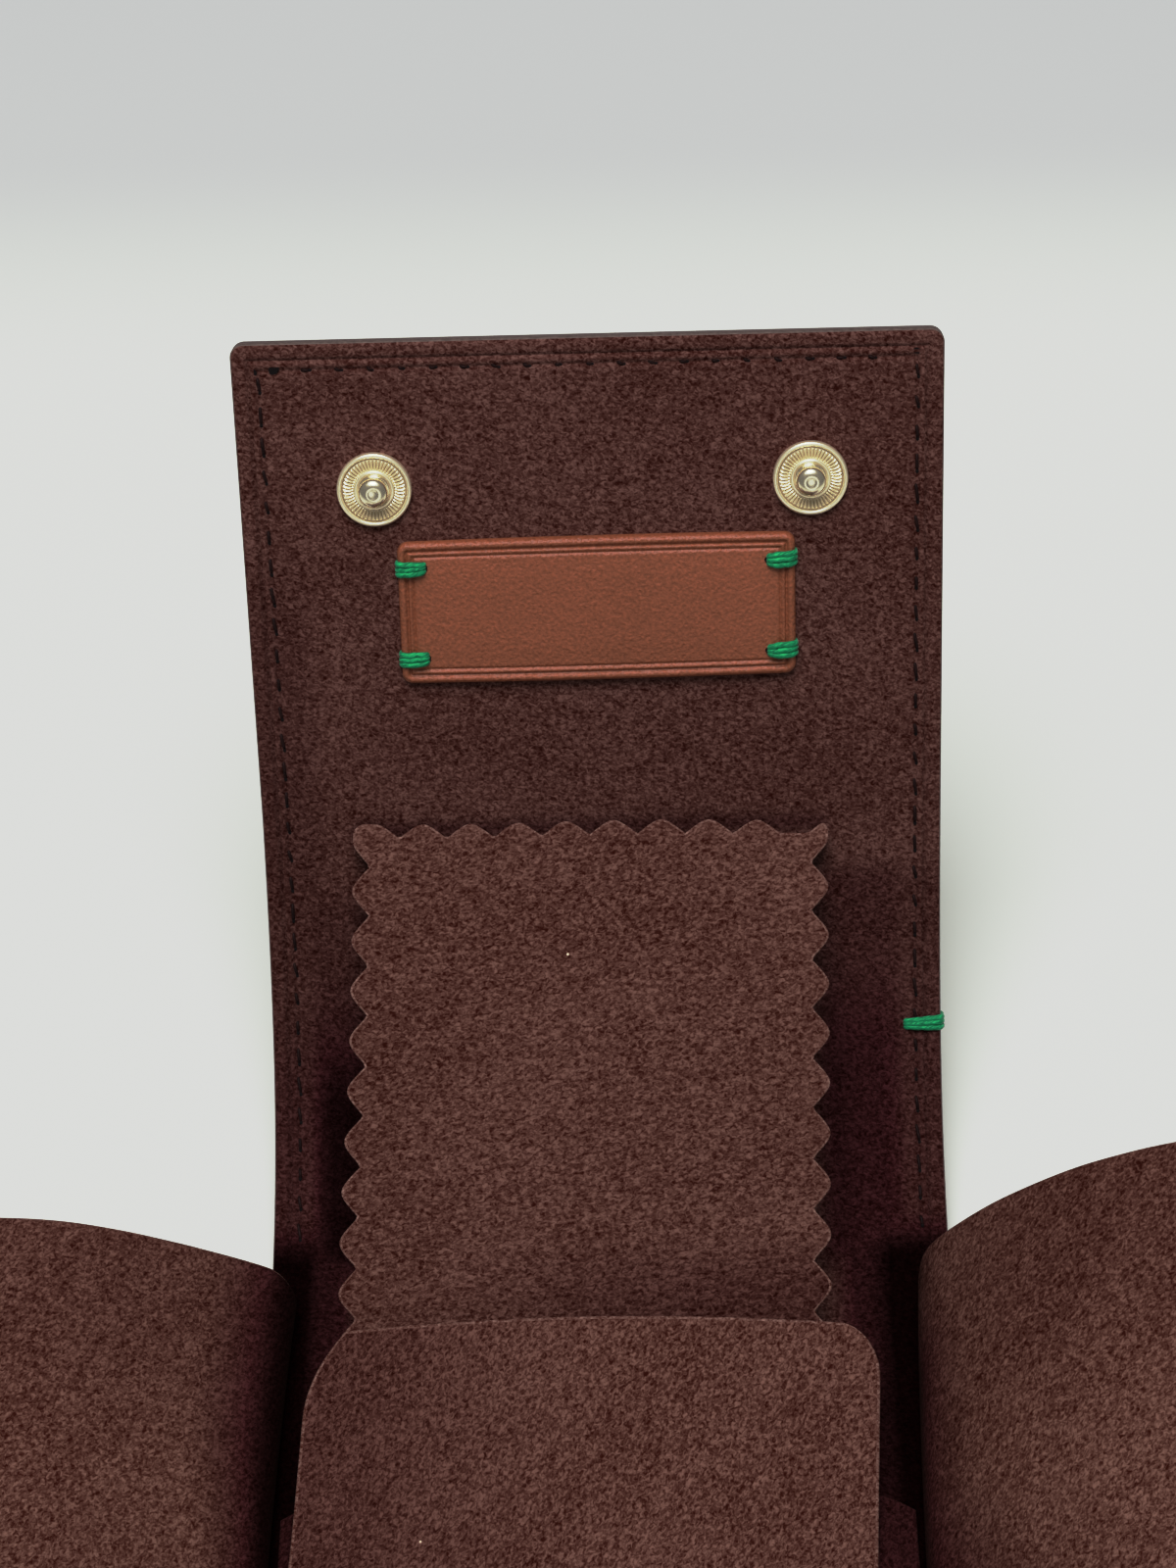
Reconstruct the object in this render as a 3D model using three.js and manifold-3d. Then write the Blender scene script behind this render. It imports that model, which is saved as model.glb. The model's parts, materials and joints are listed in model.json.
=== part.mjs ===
// Watch travel pouch, laid open.
//
// One long strip, leather outside and suede inside, folds over the base from both ends: the far end is
// the flap with the snap studs, the near end is the front panel with their sockets. On the base lie a
// pocket, a tongue with a polishing cloth behind it, and two side wings.
//
// Millimetres. +X to the right, +Y towards the flap, +Z up. The origin is the middle of the base's
// underside. Each moving piece hangs in a group whose origin lies on its fold line.

import * as THREE from 'three';
import { mergeVertices } from 'three/addons/utils/BufferGeometryUtils.js';
import Module from 'manifold-3d';

const wasm = await Module();
wasm.setup();

// Clearances
const TOUCH_GAP = 0.2; // between pieces that lie on each other
const FOLD_GAP = 0.4; // between neighbouring bands at a fold line
const SHANK_CLEARANCE = 0.2; // round a rivet post
const SNAP_CLEARANCE = 0.25; // between a stud and the socket it is pressed into

// Strip
const STRIP_WIDTH = 86;
const LEATHER_THICKNESS = 1.6;
const LINING_THICKNESS = 1.2;
const BASE_LENGTH = 80;
const FLAP_SHORTER_BY = 12; // than the base
const FAR_BAND_LENGTH = 14; // bands of the bend between base and flap
const FRONT_MARGIN = 18; // front panel beyond its sockets
const PANEL_CORNER_RADIUS = 2;
const FAR_REST_DEGREES = [14, 18, 15, 7, 5]; // turn at each fold line, base to flap
const NEAR_REST_DEGREES = [4, 4, 4, 4, 4]; // turn at each fold line, base to front panel
const CLOSED_DEGREES = 180; // all turns of one end together, pouch shut

// Stiffening boards, let into the leather
const BOARD_THICKNESS = 0.8;
const BOARD_MARGIN = 7; // from the panel's edges

// Press snaps
const SNAP_INSET = 16.3; // centre, from the strip's edges
const SNAP_FROM_EDGE = 18.2; // stud centre to the flap's free edge
const STUD_RADIUS = 4.5;
const STUD_RIM_HEIGHT = 0.9;
const STUD_RIM_WIDTH = 0.5;
const STUD_DISH_DEPTH = 0.3;
const STUD_COLLAR_RADIUS = 2.3;
const STUD_NECK_RADIUS = 1.6;
const STUD_BALL_RADIUS = 1.95;
const STUD_TIP_RADIUS = 0.9;
const STUD_HEIGHT = 3.1;
const SOCKET_RADIUS = 4.3;
const SOCKET_FLOOR = 0.8;
const SPRING_WIRE = 0.4;
const SPRING_DEPTH = 0.5; // below the socket's mouth
const POST_SHANK_RADIUS = 1.1;
const POST_FLANGE_RADIUS = 3.7;
const POST_FLANGE_THICKNESS = 0.6;
const POST_GRIP = 0.4; // how far a shank enters its stud or socket

// Label and tacks
const LABEL_LENGTH = 48.6;
const LABEL_HEIGHT = 18;
const LABEL_THICKNESS = 1.2;
const LABEL_CORNER_RADIUS = 1.2;
const LABEL_FROM_EDGE = 34; // label centre to the flap's free edge
const TACK_THICKNESS = 0.5;
const TACK_WIDTH = 1.8;
const TACK_REACH = 3.4; // over the label's edge
const TACK_FROM_CORNER = 3;
const EDGE_TACK_REACH = 5; // over the strip's edge
const EDGE_TACK_BAND = 2; // which far band carries it, counted from 0

// Pocket
const POCKET_INSET = 5.5; // from the strip's edges
const POCKET_THICKNESS = 0.9;
const POCKET_ROOM = 1.2; // clear height inside
const POCKET_SIDE_RISE = 4; // width of the slope at either side
const POCKET_ROOT_INSET = 2; // from the base's near fold line
const POCKET_ROOT_RISE = 5;
const POCKET_DEPTH = 48.5; // root to mouth, at the sides
const POCKET_MOUTH_BOW = 2.5; // further out in the middle

// Tongue
const TONGUE_INSET = 2.5; // from the pocket's sides
const TONGUE_FACE_THICKNESS = 1;
const TONGUE_BACK_THICKNESS = 0.8;
const TONGUE_BACK_INSET = 0.6;
const TONGUE_ROOT_INSET = 3; // from the base's near fold line
const TONGUE_SEAM = 7; // sewn down, from its root to its hinge
const TONGUE_FLAT_LENGTH = 32; // hinge to the middle of the bend
const TONGUE_BEND_RUN = 12; // length over which it turns up
const TONGUE_RISE_DEGREES = 13.5;
const TONGUE_END_INSET = 7; // from the base's far fold line
const TONGUE_CORNER_RADIUS = 8;
const TONGUE_ARCH = 2;

// Polishing cloth
const CLOTH_WIDTH = 60;
const CLOTH_LENGTH = 102;
const CLOTH_THICKNESS = 0.8;
const CLOTH_LEAN = 8.5; // where its edge leans, up the flap from the last fold
const CLOTH_GAP = 0.5; // to the pocket's mouth and the tongue's edge
const PINK_PITCH = 6;
const PINK_DEPTH = 1.9;

// Wings: the turn of the sheet eases from the root's heading to the tip's along its arc
const WING_INSET = 2.5; // root, from the strip's edge
const WING_END_INSET = 2; // either end, from the base's fold lines
const WING_THICKNESS = 1.8;
const WING_WALL_ARC = 24;
const WING_COVER_ARC = 36;
const WING_LIFT = 0.6; // root above the lining
const WING_FOLD_RELIEF = 1; // outer face of the cover, cut back at the fold so that it opens flat
const WING_ROOT_DEGREES = 95;
const RIGHT_WING = { side: 1, tipDegrees: -11, easing: 33 };
const LEFT_WING = { side: -1, tipDegrees: 4, easing: 10 };

// Steps of the faceted round forms
const TURNED_STEPS = 36;
const CURVE_STEPS = 6;
const WING_STEPS = 9;
const SHORTEST_EDGE = 0.475; // of the cloth's faceted outline

// Heights and places that follow from the sizes above
const STRIP_THICKNESS = LEATHER_THICKNESS + TOUCH_GAP + LINING_THICKNESS;
const LEATHER_TOP = -LINING_THICKNESS - TOUCH_GAP; // in a strip group, below the lining's face
const RECESS_FLOOR = LEATHER_TOP - BOARD_THICKNESS - TOUCH_GAP;
const FLAP_LENGTH = BASE_LENGTH - FLAP_SHORTER_BY;
const SNAP_SPACING = STRIP_WIDTH - 2 * SNAP_INSET;
const SOCKET_BORE_DEPTH = STUD_HEIGHT - STUD_RIM_HEIGHT;
const SOCKET_HEIGHT = SOCKET_BORE_DEPTH + SOCKET_FLOOR;
const SOCKET_BORE_RADIUS = STUD_BALL_RADIUS + SNAP_CLEARANCE;
const SNAP_GAP = TOUCH_GAP + STUD_RIM_HEIGHT + SNAP_CLEARANCE + SOCKET_HEIGHT + TOUCH_GAP;
const POCKET_WIDTH = STRIP_WIDTH - 2 * POCKET_INSET;
const POCKET_ROOT_Y = -BASE_LENGTH / 2 + POCKET_ROOT_INSET;
const POCKET_MOUTH_Y = POCKET_ROOT_Y + POCKET_DEPTH;
const POCKET_TOP = STRIP_THICKNESS + POCKET_ROOM + POCKET_THICKNESS;
const TONGUE_WIDTH = POCKET_WIDTH - 2 * TONGUE_INSET;
const TONGUE_ROOT_Y = -BASE_LENGTH / 2 + TONGUE_ROOT_INSET;
const TONGUE_HINGE_Y = TONGUE_ROOT_Y + TONGUE_SEAM;
const TONGUE_BEND_Y = TONGUE_HINGE_Y + TONGUE_FLAT_LENGTH;
const TONGUE_END_Y = BASE_LENGTH / 2 - TONGUE_END_INSET;
const TONGUE_BACK_TOP = POCKET_TOP + TOUCH_GAP + TONGUE_BACK_THICKNESS;
const TONGUE_TOP = TONGUE_BACK_TOP + TOUCH_GAP + TONGUE_FACE_THICKNESS;
const CLOTH_TAIL_TOP = STRIP_THICKNESS + TOUCH_GAP + CLOTH_THICKNESS;
const WING_ROOT_X = STRIP_WIDTH / 2 - WING_INSET;
const WING_LENGTH = BASE_LENGTH - 2 * WING_END_INSET; // along Y

// Where the last fold line lies from the first one, for a chain of equal bands
function lastFold(degrees, bandLength) {
  const place = new THREE.Vector2();
  let heading = 0;
  for (const turn of degrees.slice(0, -1)) {
    heading += THREE.MathUtils.degToRad(turn);
    place.x += bandLength * Math.cos(heading);
    place.y += bandLength * Math.sin(heading);
  }
  return place;
}

function totalTurn(degrees) {
  return degrees.reduce((sum, turn) => sum + turn, 0);
}

// The turns of a chain when the pouch is shut, in the same proportions as at rest
function shut(degrees) {
  return degrees.map((turn) => (turn * CLOSED_DEGREES) / totalTurn(degrees));
}

// The shut front panel lies under the shut flap with just the engaged snaps between them
const FAR_SHUT = lastFold(shut(FAR_REST_DEGREES), FAR_BAND_LENGTH);
const NEAR_SHUT_PER_BAND = lastFold(shut(NEAR_REST_DEGREES), 1);
const NEAR_BAND_LENGTH = (FAR_SHUT.y - STRIP_THICKNESS - SNAP_GAP) / NEAR_SHUT_PER_BAND.y;
const STUD_FROM_ROOT = FLAP_LENGTH - SNAP_FROM_EDGE;
const SOCKET_FROM_ROOT =
  BASE_LENGTH + FAR_SHUT.x + NEAR_SHUT_PER_BAND.x * NEAR_BAND_LENGTH - STUD_FROM_ROOT;
const FRONT_LENGTH = SOCKET_FROM_ROOT + FRONT_MARGIN;

// Finishes
const liningSuede = new THREE.MeshStandardMaterial({ color: 0x452a26, roughness: 1 });
const clothSuede = new THREE.MeshStandardMaterial({ color: 0x50332e, roughness: 1 });
const outerLeather = new THREE.MeshStandardMaterial({ color: 0x5b3a2c, roughness: 0.55 });
const labelLeather = new THREE.MeshStandardMaterial({ color: 0x7a4835, roughness: 0.6 });
const greenThread = new THREE.MeshStandardMaterial({ color: 0x127a53, roughness: 0.7 });
const greyBoard = new THREE.MeshStandardMaterial({ color: 0x8d8478, roughness: 0.9 });
const snapMetal = new THREE.MeshStandardMaterial({ color: 0xb9a88a, roughness: 0.3, metalness: 1 });
const springSteel = new THREE.MeshStandardMaterial({ color: 0x9a9a98, roughness: 0.35, metalness: 1 });

function piece(name, geometry, material) {
  const mesh = new THREE.Mesh(geometry, material);
  mesh.name = name;
  return mesh;
}

function groupAt(x, y, z) {
  const group = new THREE.Group();
  group.position.set(x, y, z);
  return group;
}

// Closed mesh to solid and back, for cuts
function toSolid(geometry) {
  const bare = geometry.clone();
  bare.deleteAttribute('normal');
  bare.deleteAttribute('uv');
  const merged = mergeVertices(bare);
  const vertProperties = new Float32Array(merged.attributes.position.array);
  const triVerts = new Uint32Array(merged.index.array);
  return new wasm.Manifold(new wasm.Mesh({ numProp: 3, vertProperties, triVerts }));
}

function toGeometry(solid) {
  const { vertProperties, triVerts } = solid.getMesh();
  const geometry = new THREE.BufferGeometry();
  geometry.setAttribute('position', new THREE.BufferAttribute(vertProperties, 3));
  geometry.setIndex(new THREE.BufferAttribute(triVerts, 1));
  return geometry;
}

function cut(geometry, tools) {
  const cutSolid = tools.reduce((solid, tool) => solid.subtract(toSolid(tool)), toSolid(geometry));
  return toGeometry(cutSolid);
}

// A box given by its lowest and highest corner
function boxBetween(low, high) {
  const size = high.map((value, axis) => value - low[axis]);
  const centre = high.map((value, axis) => (value + low[axis]) / 2);
  return new THREE.BoxGeometry(...size).translate(...centre);
}

// A round rod along Z
function rod(x, y, radius, bottom, top) {
  const cylinder = new THREE.CylinderGeometry(radius, radius, top - bottom, TURNED_STEPS);
  return cylinder.rotateX(Math.PI / 2).translate(x, y, (top + bottom) / 2);
}

// A turned solid about Z, from a profile of [radius, height] points
function turned(profile) {
  const points = profile.map(([radius, height]) => new THREE.Vector2(radius, height));
  return new THREE.LatheGeometry(points, TURNED_STEPS).rotateX(Math.PI / 2);
}

// A plate with its end at y = to rounded off, its face at z = top
function roundedPanel(width, from, to, radius, top, thickness) {
  const half = width / 2;
  const outline = new THREE.Shape();
  outline.moveTo(-half, from);
  outline.lineTo(half, from);
  outline.lineTo(half, to - radius);
  outline.absarc(half - radius, to - radius, radius, 0, Math.PI / 2);
  outline.absarc(-half + radius, to - radius, radius, Math.PI / 2, Math.PI);
  const options = { depth: thickness, bevelEnabled: false, curveSegments: CURVE_STEPS };
  return new THREE.ExtrudeGeometry(outline, options).translate(0, 0, top - thickness);
}

// A section in X and Z, drawn as [x, z] points, extruded along Y about y = middle
function extrudedAlongY(section, length, middle) {
  const outline = new THREE.Shape(section.map(([x, z]) => new THREE.Vector2(x, z)));
  const geometry = new THREE.ExtrudeGeometry(outline, { depth: length, bevelEnabled: false });
  return geometry.rotateX(Math.PI / 2).translate(0, middle + length / 2, 0);
}

// A sheet cut to flat loops of [x, s] points that share their seams. place(x, s) gives the point of
// its upper face and of its lower face.
function sheet(loops, place) {
  const flatPoints = [];
  const numbers = new Map();
  const numberOf = (point) => {
    const key = `${point.x.toFixed(4)} ${point.y.toFixed(4)}`;
    if (!numbers.has(key)) {
      numbers.set(key, flatPoints.length);
      flatPoints.push(point);
    }
    return numbers.get(key);
  };

  const faces = [];
  for (const loop of loops) {
    const points = loop.map(([x, s]) => new THREE.Vector2(x, s));
    if (THREE.ShapeUtils.isClockWise(points)) points.reverse();
    for (const corners of THREE.ShapeUtils.triangulateShape(points, [])) {
      faces.push(corners.map((corner) => numberOf(points[corner])));
    }
  }

  // an edge that no neighbouring face walks the other way is on the rim
  const edges = faces.flatMap(([a, b, c]) => [[a, b], [b, c], [c, a]]);
  const walked = new Set(edges.map(([a, b]) => `${a} ${b}`));
  const rim = edges.filter(([a, b]) => !walked.has(`${b} ${a}`));

  const count = flatPoints.length;
  const placed = flatPoints.map((point) => place(point.x, point.y));
  const positions = [...placed.map((p) => p.upper), ...placed.map((p) => p.lower)].flat();
  const triangles = [
    ...faces,
    ...faces.map(([a, b, c]) => [count + a, count + c, count + b]),
    ...rim.flatMap(([a, b]) => [[a, count + a, count + b], [a, count + b, b]]),
  ];
  const geometry = new THREE.BufferGeometry();
  geometry.setAttribute('position', new THREE.Float32BufferAttribute(positions, 3));
  geometry.setIndex(triangles.flat());
  return geometry;
}

// A line of [y, z] points, walked by its length. at(s) gives the place and the mitred upward normal.
function bentLine(points) {
  const corners = points.map(([y, z]) => new THREE.Vector2(y, z));
  const headings = corners.slice(1).map((corner, i) => corner.clone().sub(corners[i]).angle());
  const starts = [0];
  for (let i = 1; i < corners.length; i += 1) {
    starts.push(starts[i - 1] + corners[i].distanceTo(corners[i - 1]));
  }
  const last = headings.length - 1;
  const tolerance = 1e-6;
  const at = (s) => {
    const leg = Math.min(last, Math.max(0, starts.findLastIndex((start) => start <= s + tolerance)));
    const onCorner = leg > 0 && Math.abs(s - starts[leg]) < tolerance;
    const halfTurn = onCorner ? (headings[leg] - headings[leg - 1]) / 2 : 0;
    const heading = headings[leg] - halfTurn;
    const along = new THREE.Vector2(Math.cos(headings[leg]), Math.sin(headings[leg]));
    const place = along.multiplyScalar(s - starts[leg]).add(corners[leg]);
    const stretch = 1 / Math.cos(halfTurn);
    return { place, normal: [-Math.sin(heading) * stretch, Math.cos(heading) * stretch] };
  };
  return { at, starts, length: starts[last + 1] };
}

// Places a sheet of [x, s] points along a bent line, its upper face dropped below the line
function along(line, drop, thickness) {
  return (x, s) => {
    const { place, normal } = line.at(s);
    const below = (depth) => [x, place.x - normal[0] * depth, place.y - normal[1] * depth];
    return { upper: below(drop), lower: below(drop + thickness) };
  };
}

// Strip

// A board within the margins of a panel, or the room for it if it is grown by a gap
function boardBox(from, to, gap, bottom, top) {
  const half = STRIP_WIDTH / 2 - BOARD_MARGIN + gap;
  return boxBetween([-half, from + BOARD_MARGIN - gap, bottom], [half, to - BOARD_MARGIN + gap, top]);
}

// Leather, lining and board of one stiff panel, from y = from to y = to, free end rounded if asked
function panelPieces(name, from, to, free, boardHoles, leatherHoles, liningHoles) {
  const build = (top, thickness) =>
    free
      ? roundedPanel(STRIP_WIDTH, from, to, PANEL_CORNER_RADIUS, top, thickness)
      : boxBetween([-STRIP_WIDTH / 2, from, top - thickness], [STRIP_WIDTH / 2, to, top]);
  const recess = boardBox(from, to, TOUCH_GAP, RECESS_FLOOR, LEATHER_TOP + TOUCH_GAP);
  const board = boardBox(from, to, 0, LEATHER_TOP - BOARD_THICKNESS, LEATHER_TOP);
  const leather = cut(build(LEATHER_TOP, LEATHER_THICKNESS), [recess, ...leatherHoles]);
  return [
    piece(`outer_leather_${name}`, leather, outerLeather),
    piece(`lining_${name}`, cut(build(0, LINING_THICKNESS), liningHoles), liningSuede),
    piece(`stiffener_${name}`, cut(board, boardHoles), greyBoard),
  ];
}

// Leather and lining of one band of a bend
function bandPieces(name, length) {
  const from = FOLD_GAP / 2;
  const to = length - FOLD_GAP / 2;
  const half = STRIP_WIDTH / 2;
  const leatherLow = [-half, from, LEATHER_TOP - LEATHER_THICKNESS];
  return [
    piece(`outer_leather_${name}`, boxBetween(leatherLow, [half, to, LEATHER_TOP]), outerLeather),
    piece(`lining_${name}`, boxBetween([-half, from, -LINING_THICKNESS], [half, to, 0]), liningSuede),
  ];
}

// A chain of bands, each turned up from the one before it, with a panel at its end
function foldChain(chain, name, degrees, bandLength, endPieces) {
  let parent = chain;
  degrees.forEach((turn, i) => {
    const fold = groupAt(0, i === 0 ? 0 : bandLength, 0);
    fold.rotation.x = THREE.MathUtils.degToRad(turn);
    const isEnd = i === degrees.length - 1;
    fold.name = isEnd ? `${name}_end` : `${name}_bend_${i + 1}`;
    fold.add(...(isEnd ? endPieces : bandPieces(fold.name, bandLength)));
    parent.add(fold);
    parent = fold;
  });
  return chain;
}

// Press snaps, on a panel whose lining face is z = 0

function studGeometry() {
  const bore = POST_SHANK_RADIUS + SHANK_CLEARANCE;
  const boreTop = POST_GRIP + SHANK_CLEARANCE;
  const dish = STUD_RADIUS - STUD_RIM_WIDTH;
  const ballHeight = (STUD_RIM_HEIGHT + STUD_HEIGHT) / 2;
  return turned([
    [0, boreTop],
    [bore, boreTop],
    [bore, 0],
    [STUD_RADIUS, 0],
    [STUD_RADIUS, STUD_RIM_HEIGHT],
    [dish, STUD_RIM_HEIGHT],
    [dish - STUD_DISH_DEPTH, STUD_RIM_HEIGHT - STUD_DISH_DEPTH],
    [STUD_COLLAR_RADIUS, STUD_RIM_HEIGHT],
    [STUD_NECK_RADIUS, STUD_RIM_HEIGHT + STUD_DISH_DEPTH],
    [STUD_BALL_RADIUS, ballHeight],
    [STUD_BALL_RADIUS, ballHeight + STUD_DISH_DEPTH],
    [STUD_TIP_RADIUS, STUD_HEIGHT],
    [0, STUD_HEIGHT],
  ]);
}

// Mouth at z = 0, floor above it, with a groove for the spring ring
function socketGeometry() {
  const grooveRadius = SOCKET_BORE_RADIUS + SPRING_WIRE + SNAP_CLEARANCE;
  const grooveLow = SPRING_DEPTH - TOUCH_GAP;
  const grooveHigh = SPRING_DEPTH + SPRING_WIRE + TOUCH_GAP;
  const bore = POST_SHANK_RADIUS + SHANK_CLEARANCE;
  const boreLow = SOCKET_HEIGHT - POST_GRIP - SHANK_CLEARANCE / 2;
  return turned([
    [0, SOCKET_BORE_DEPTH],
    [SOCKET_BORE_RADIUS, SOCKET_BORE_DEPTH],
    [SOCKET_BORE_RADIUS, grooveHigh],
    [grooveRadius, grooveHigh],
    [grooveRadius, grooveLow],
    [SOCKET_BORE_RADIUS, grooveLow],
    [SOCKET_BORE_RADIUS, 0],
    [SOCKET_RADIUS, 0],
    [SOCKET_RADIUS, SOCKET_HEIGHT],
    [bore, SOCKET_HEIGHT],
    [bore, boreLow],
    [0, boreLow],
  ]);
}

function springGeometry() {
  const inner = SOCKET_BORE_RADIUS;
  const outer = SOCKET_BORE_RADIUS + SPRING_WIRE;
  return turned([
    [inner, SPRING_DEPTH],
    [outer, SPRING_DEPTH],
    [outer, SPRING_DEPTH + SPRING_WIRE],
    [inner, SPRING_DEPTH + SPRING_WIRE],
    [inner, SPRING_DEPTH],
  ]);
}

// Flange at z = 0 to its thickness, shank standing on it
function postGeometry(shankLength) {
  return turned([
    [0, 0],
    [POST_FLANGE_RADIUS, 0],
    [POST_FLANGE_RADIUS, POST_FLANGE_THICKNESS],
    [POST_SHANK_RADIUS, POST_FLANGE_THICKNESS],
    [POST_SHANK_RADIUS, POST_FLANGE_THICKNESS + shankLength],
    [0, POST_FLANGE_THICKNESS + shankLength],
  ]);
}

function snapHoles(y, radius, bottom, top) {
  return [-1, 1].map((side) => rod((side * SNAP_SPACING) / 2, y, radius, bottom, top));
}

const SHANK_HOLE_RADIUS = POST_SHANK_RADIUS + SHANK_CLEARANCE;
const FLANGE_HOLE_RADIUS = POST_FLANGE_RADIUS + SHANK_CLEARANCE;

function studSet(side, word) {
  const set = groupAt((side * SNAP_SPACING) / 2, STUD_FROM_ROOT, 0);
  const stud = piece(`snap_stud_${word}`, studGeometry(), snapMetal);
  stud.position.z = TOUCH_GAP;
  const shankLength = LINING_THICKNESS + 2 * TOUCH_GAP + POST_GRIP;
  const post = piece(`stud_post_${word}`, postGeometry(shankLength), snapMetal);
  post.position.z = LEATHER_TOP - POST_FLANGE_THICKNESS;
  return set.add(stud, post);
}

function socketSet(side, word) {
  const set = groupAt((side * SNAP_SPACING) / 2, SOCKET_FROM_ROOT, 0);
  const socket = piece(`snap_socket_${word}`, socketGeometry(), snapMetal);
  const spring = piece(`socket_spring_${word}`, springGeometry(), springSteel);
  const mouth = -STRIP_THICKNESS - TOUCH_GAP - SOCKET_HEIGHT;
  socket.position.z = mouth;
  spring.position.z = mouth;
  const flangeBottom = RECESS_FLOOR + TOUCH_GAP;
  const shankLength = flangeBottom + STRIP_THICKNESS + TOUCH_GAP + POST_GRIP - SHANK_CLEARANCE / 2;
  const post = piece(`socket_post_${word}`, postGeometry(shankLength), snapMetal);
  post.rotation.x = Math.PI;
  post.position.z = flangeBottom + POST_FLANGE_THICKNESS;
  return set.add(socket, spring, post);
}

// Label and tacks

function labelPieces() {
  const middle = FLAP_LENGTH - LABEL_FROM_EDGE;
  const halfX = LABEL_LENGTH / 2;
  const halfY = LABEL_HEIGHT / 2;
  const r = LABEL_CORNER_RADIUS;
  const outline = new THREE.Shape();
  outline.absarc(halfX - r, halfY - r, r, 0, Math.PI / 2);
  outline.absarc(r - halfX, halfY - r, r, Math.PI / 2, Math.PI);
  outline.absarc(r - halfX, r - halfY, r, Math.PI, 1.5 * Math.PI);
  outline.absarc(halfX - r, r - halfY, r, 1.5 * Math.PI, 2 * Math.PI);
  const options = { depth: LABEL_THICKNESS, bevelEnabled: false, curveSegments: CURVE_STEPS };
  const label = piece('label', new THREE.ExtrudeGeometry(outline, options), labelLeather);
  label.position.set(0, middle, TOUCH_GAP);

  const top = TOUCH_GAP + LABEL_THICKNESS + TOUCH_GAP;
  const foot = halfX + TOUCH_GAP;
  const section = [
    [halfX - TACK_REACH, top],
    [foot, top],
    [foot, TOUCH_GAP],
    [foot + TACK_THICKNESS, TOUCH_GAP],
    [foot + TACK_THICKNESS, top + TACK_THICKNESS],
    [halfX - TACK_REACH, top + TACK_THICKNESS],
  ];
  const tacks = [];
  for (const [word, side] of [['left', -1], ['right', 1]]) {
    for (const [row, end] of [['lower', -1], ['upper', 1]]) {
      const shape = extrudedAlongY(section, TACK_WIDTH, 0);
      const tack = piece(`label_tack_${row}_${word}`, shape, greenThread);
      tack.position.y = middle + end * (halfY - TACK_FROM_CORNER);
      tack.rotation.z = side > 0 ? 0 : Math.PI;
      tacks.push(tack);
    }
  }
  return [label, ...tacks];
}

function edgeTack() {
  const inner = STRIP_WIDTH / 2 - EDGE_TACK_REACH;
  const web = STRIP_WIDTH / 2 + TOUCH_GAP;
  const top = TOUCH_GAP;
  const bottom = -STRIP_THICKNESS - TOUCH_GAP;
  const section = [
    [inner, top],
    [web, top],
    [web, bottom],
    [inner, bottom],
    [inner, bottom - TACK_THICKNESS],
    [web + TACK_THICKNESS, bottom - TACK_THICKNESS],
    [web + TACK_THICKNESS, top + TACK_THICKNESS],
    [inner, top + TACK_THICKNESS],
  ];
  return piece('edge_tack', extrudedAlongY(section, TACK_WIDTH, FAR_BAND_LENGTH / 2), greenThread);
}

// Pocket: a low vault, closed along its sides and its root, open at its bowed mouth

function pocketPiece() {
  const half = POCKET_WIDTH / 2;
  const columns = [-half, -half + POCKET_SIDE_RISE];
  for (let i = 1; i < CURVE_STEPS; i += 1) {
    columns.push(THREE.MathUtils.lerp(columns[1], -columns[1], i / CURVE_STEPS));
  }
  columns.push(half - POCKET_SIDE_RISE, half);
  const mouth = (x) => POCKET_MOUTH_Y + POCKET_MOUTH_BOW * (1 - (x / half) ** 2);
  const rows = (x) => [POCKET_ROOT_Y, POCKET_ROOT_Y + POCKET_ROOT_RISE, mouth(x)];
  const loops = [];
  for (let i = 1; i < columns.length; i += 1) {
    const left = rows(columns[i - 1]).map((y) => [columns[i - 1], y]);
    const right = rows(columns[i]).map((y) => [columns[i], y]);
    loops.push([left[0], right[0], right[1], left[1]], [left[1], right[1], right[2], left[2]]);
  }
  const place = (x, y) => {
    const fromSide = Math.min(1, (half - Math.abs(x)) / POCKET_SIDE_RISE);
    const fromRoot = Math.min(1, (y - POCKET_ROOT_Y) / POCKET_ROOT_RISE);
    const room = THREE.MathUtils.lerp(TOUCH_GAP, POCKET_ROOM, fromSide * fromRoot);
    const bottom = STRIP_THICKNESS + room;
    return { upper: [x, y, bottom + POCKET_THICKNESS], lower: [x, y, bottom] };
  };
  return piece('pocket_panel', sheet(loops, place), clothSuede);
}

// Tongue: lies on the pocket, then turns up towards its rounded free end

function tongueLine() {
  const rise = THREE.MathUtils.degToRad(TONGUE_RISE_DEGREES);
  const bendStart = TONGUE_BEND_Y - TONGUE_BEND_RUN / 2;
  const legLength = TONGUE_BEND_RUN / CURVE_STEPS;
  const points = [[TONGUE_HINGE_Y + FOLD_GAP / 2, TONGUE_TOP], [bendStart, TONGUE_TOP]];
  for (let i = 1; i <= CURVE_STEPS; i += 1) {
    const heading = (rise * (i - 0.5)) / CURVE_STEPS;
    const [y, z] = points[points.length - 1];
    points.push([y + legLength * Math.cos(heading), z + legLength * Math.sin(heading)]);
  }
  const [y, z] = points[points.length - 1];
  points.push([TONGUE_END_Y, z + (TONGUE_END_Y - y) * Math.tan(rise)]);
  return bentLine(points);
}

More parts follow.
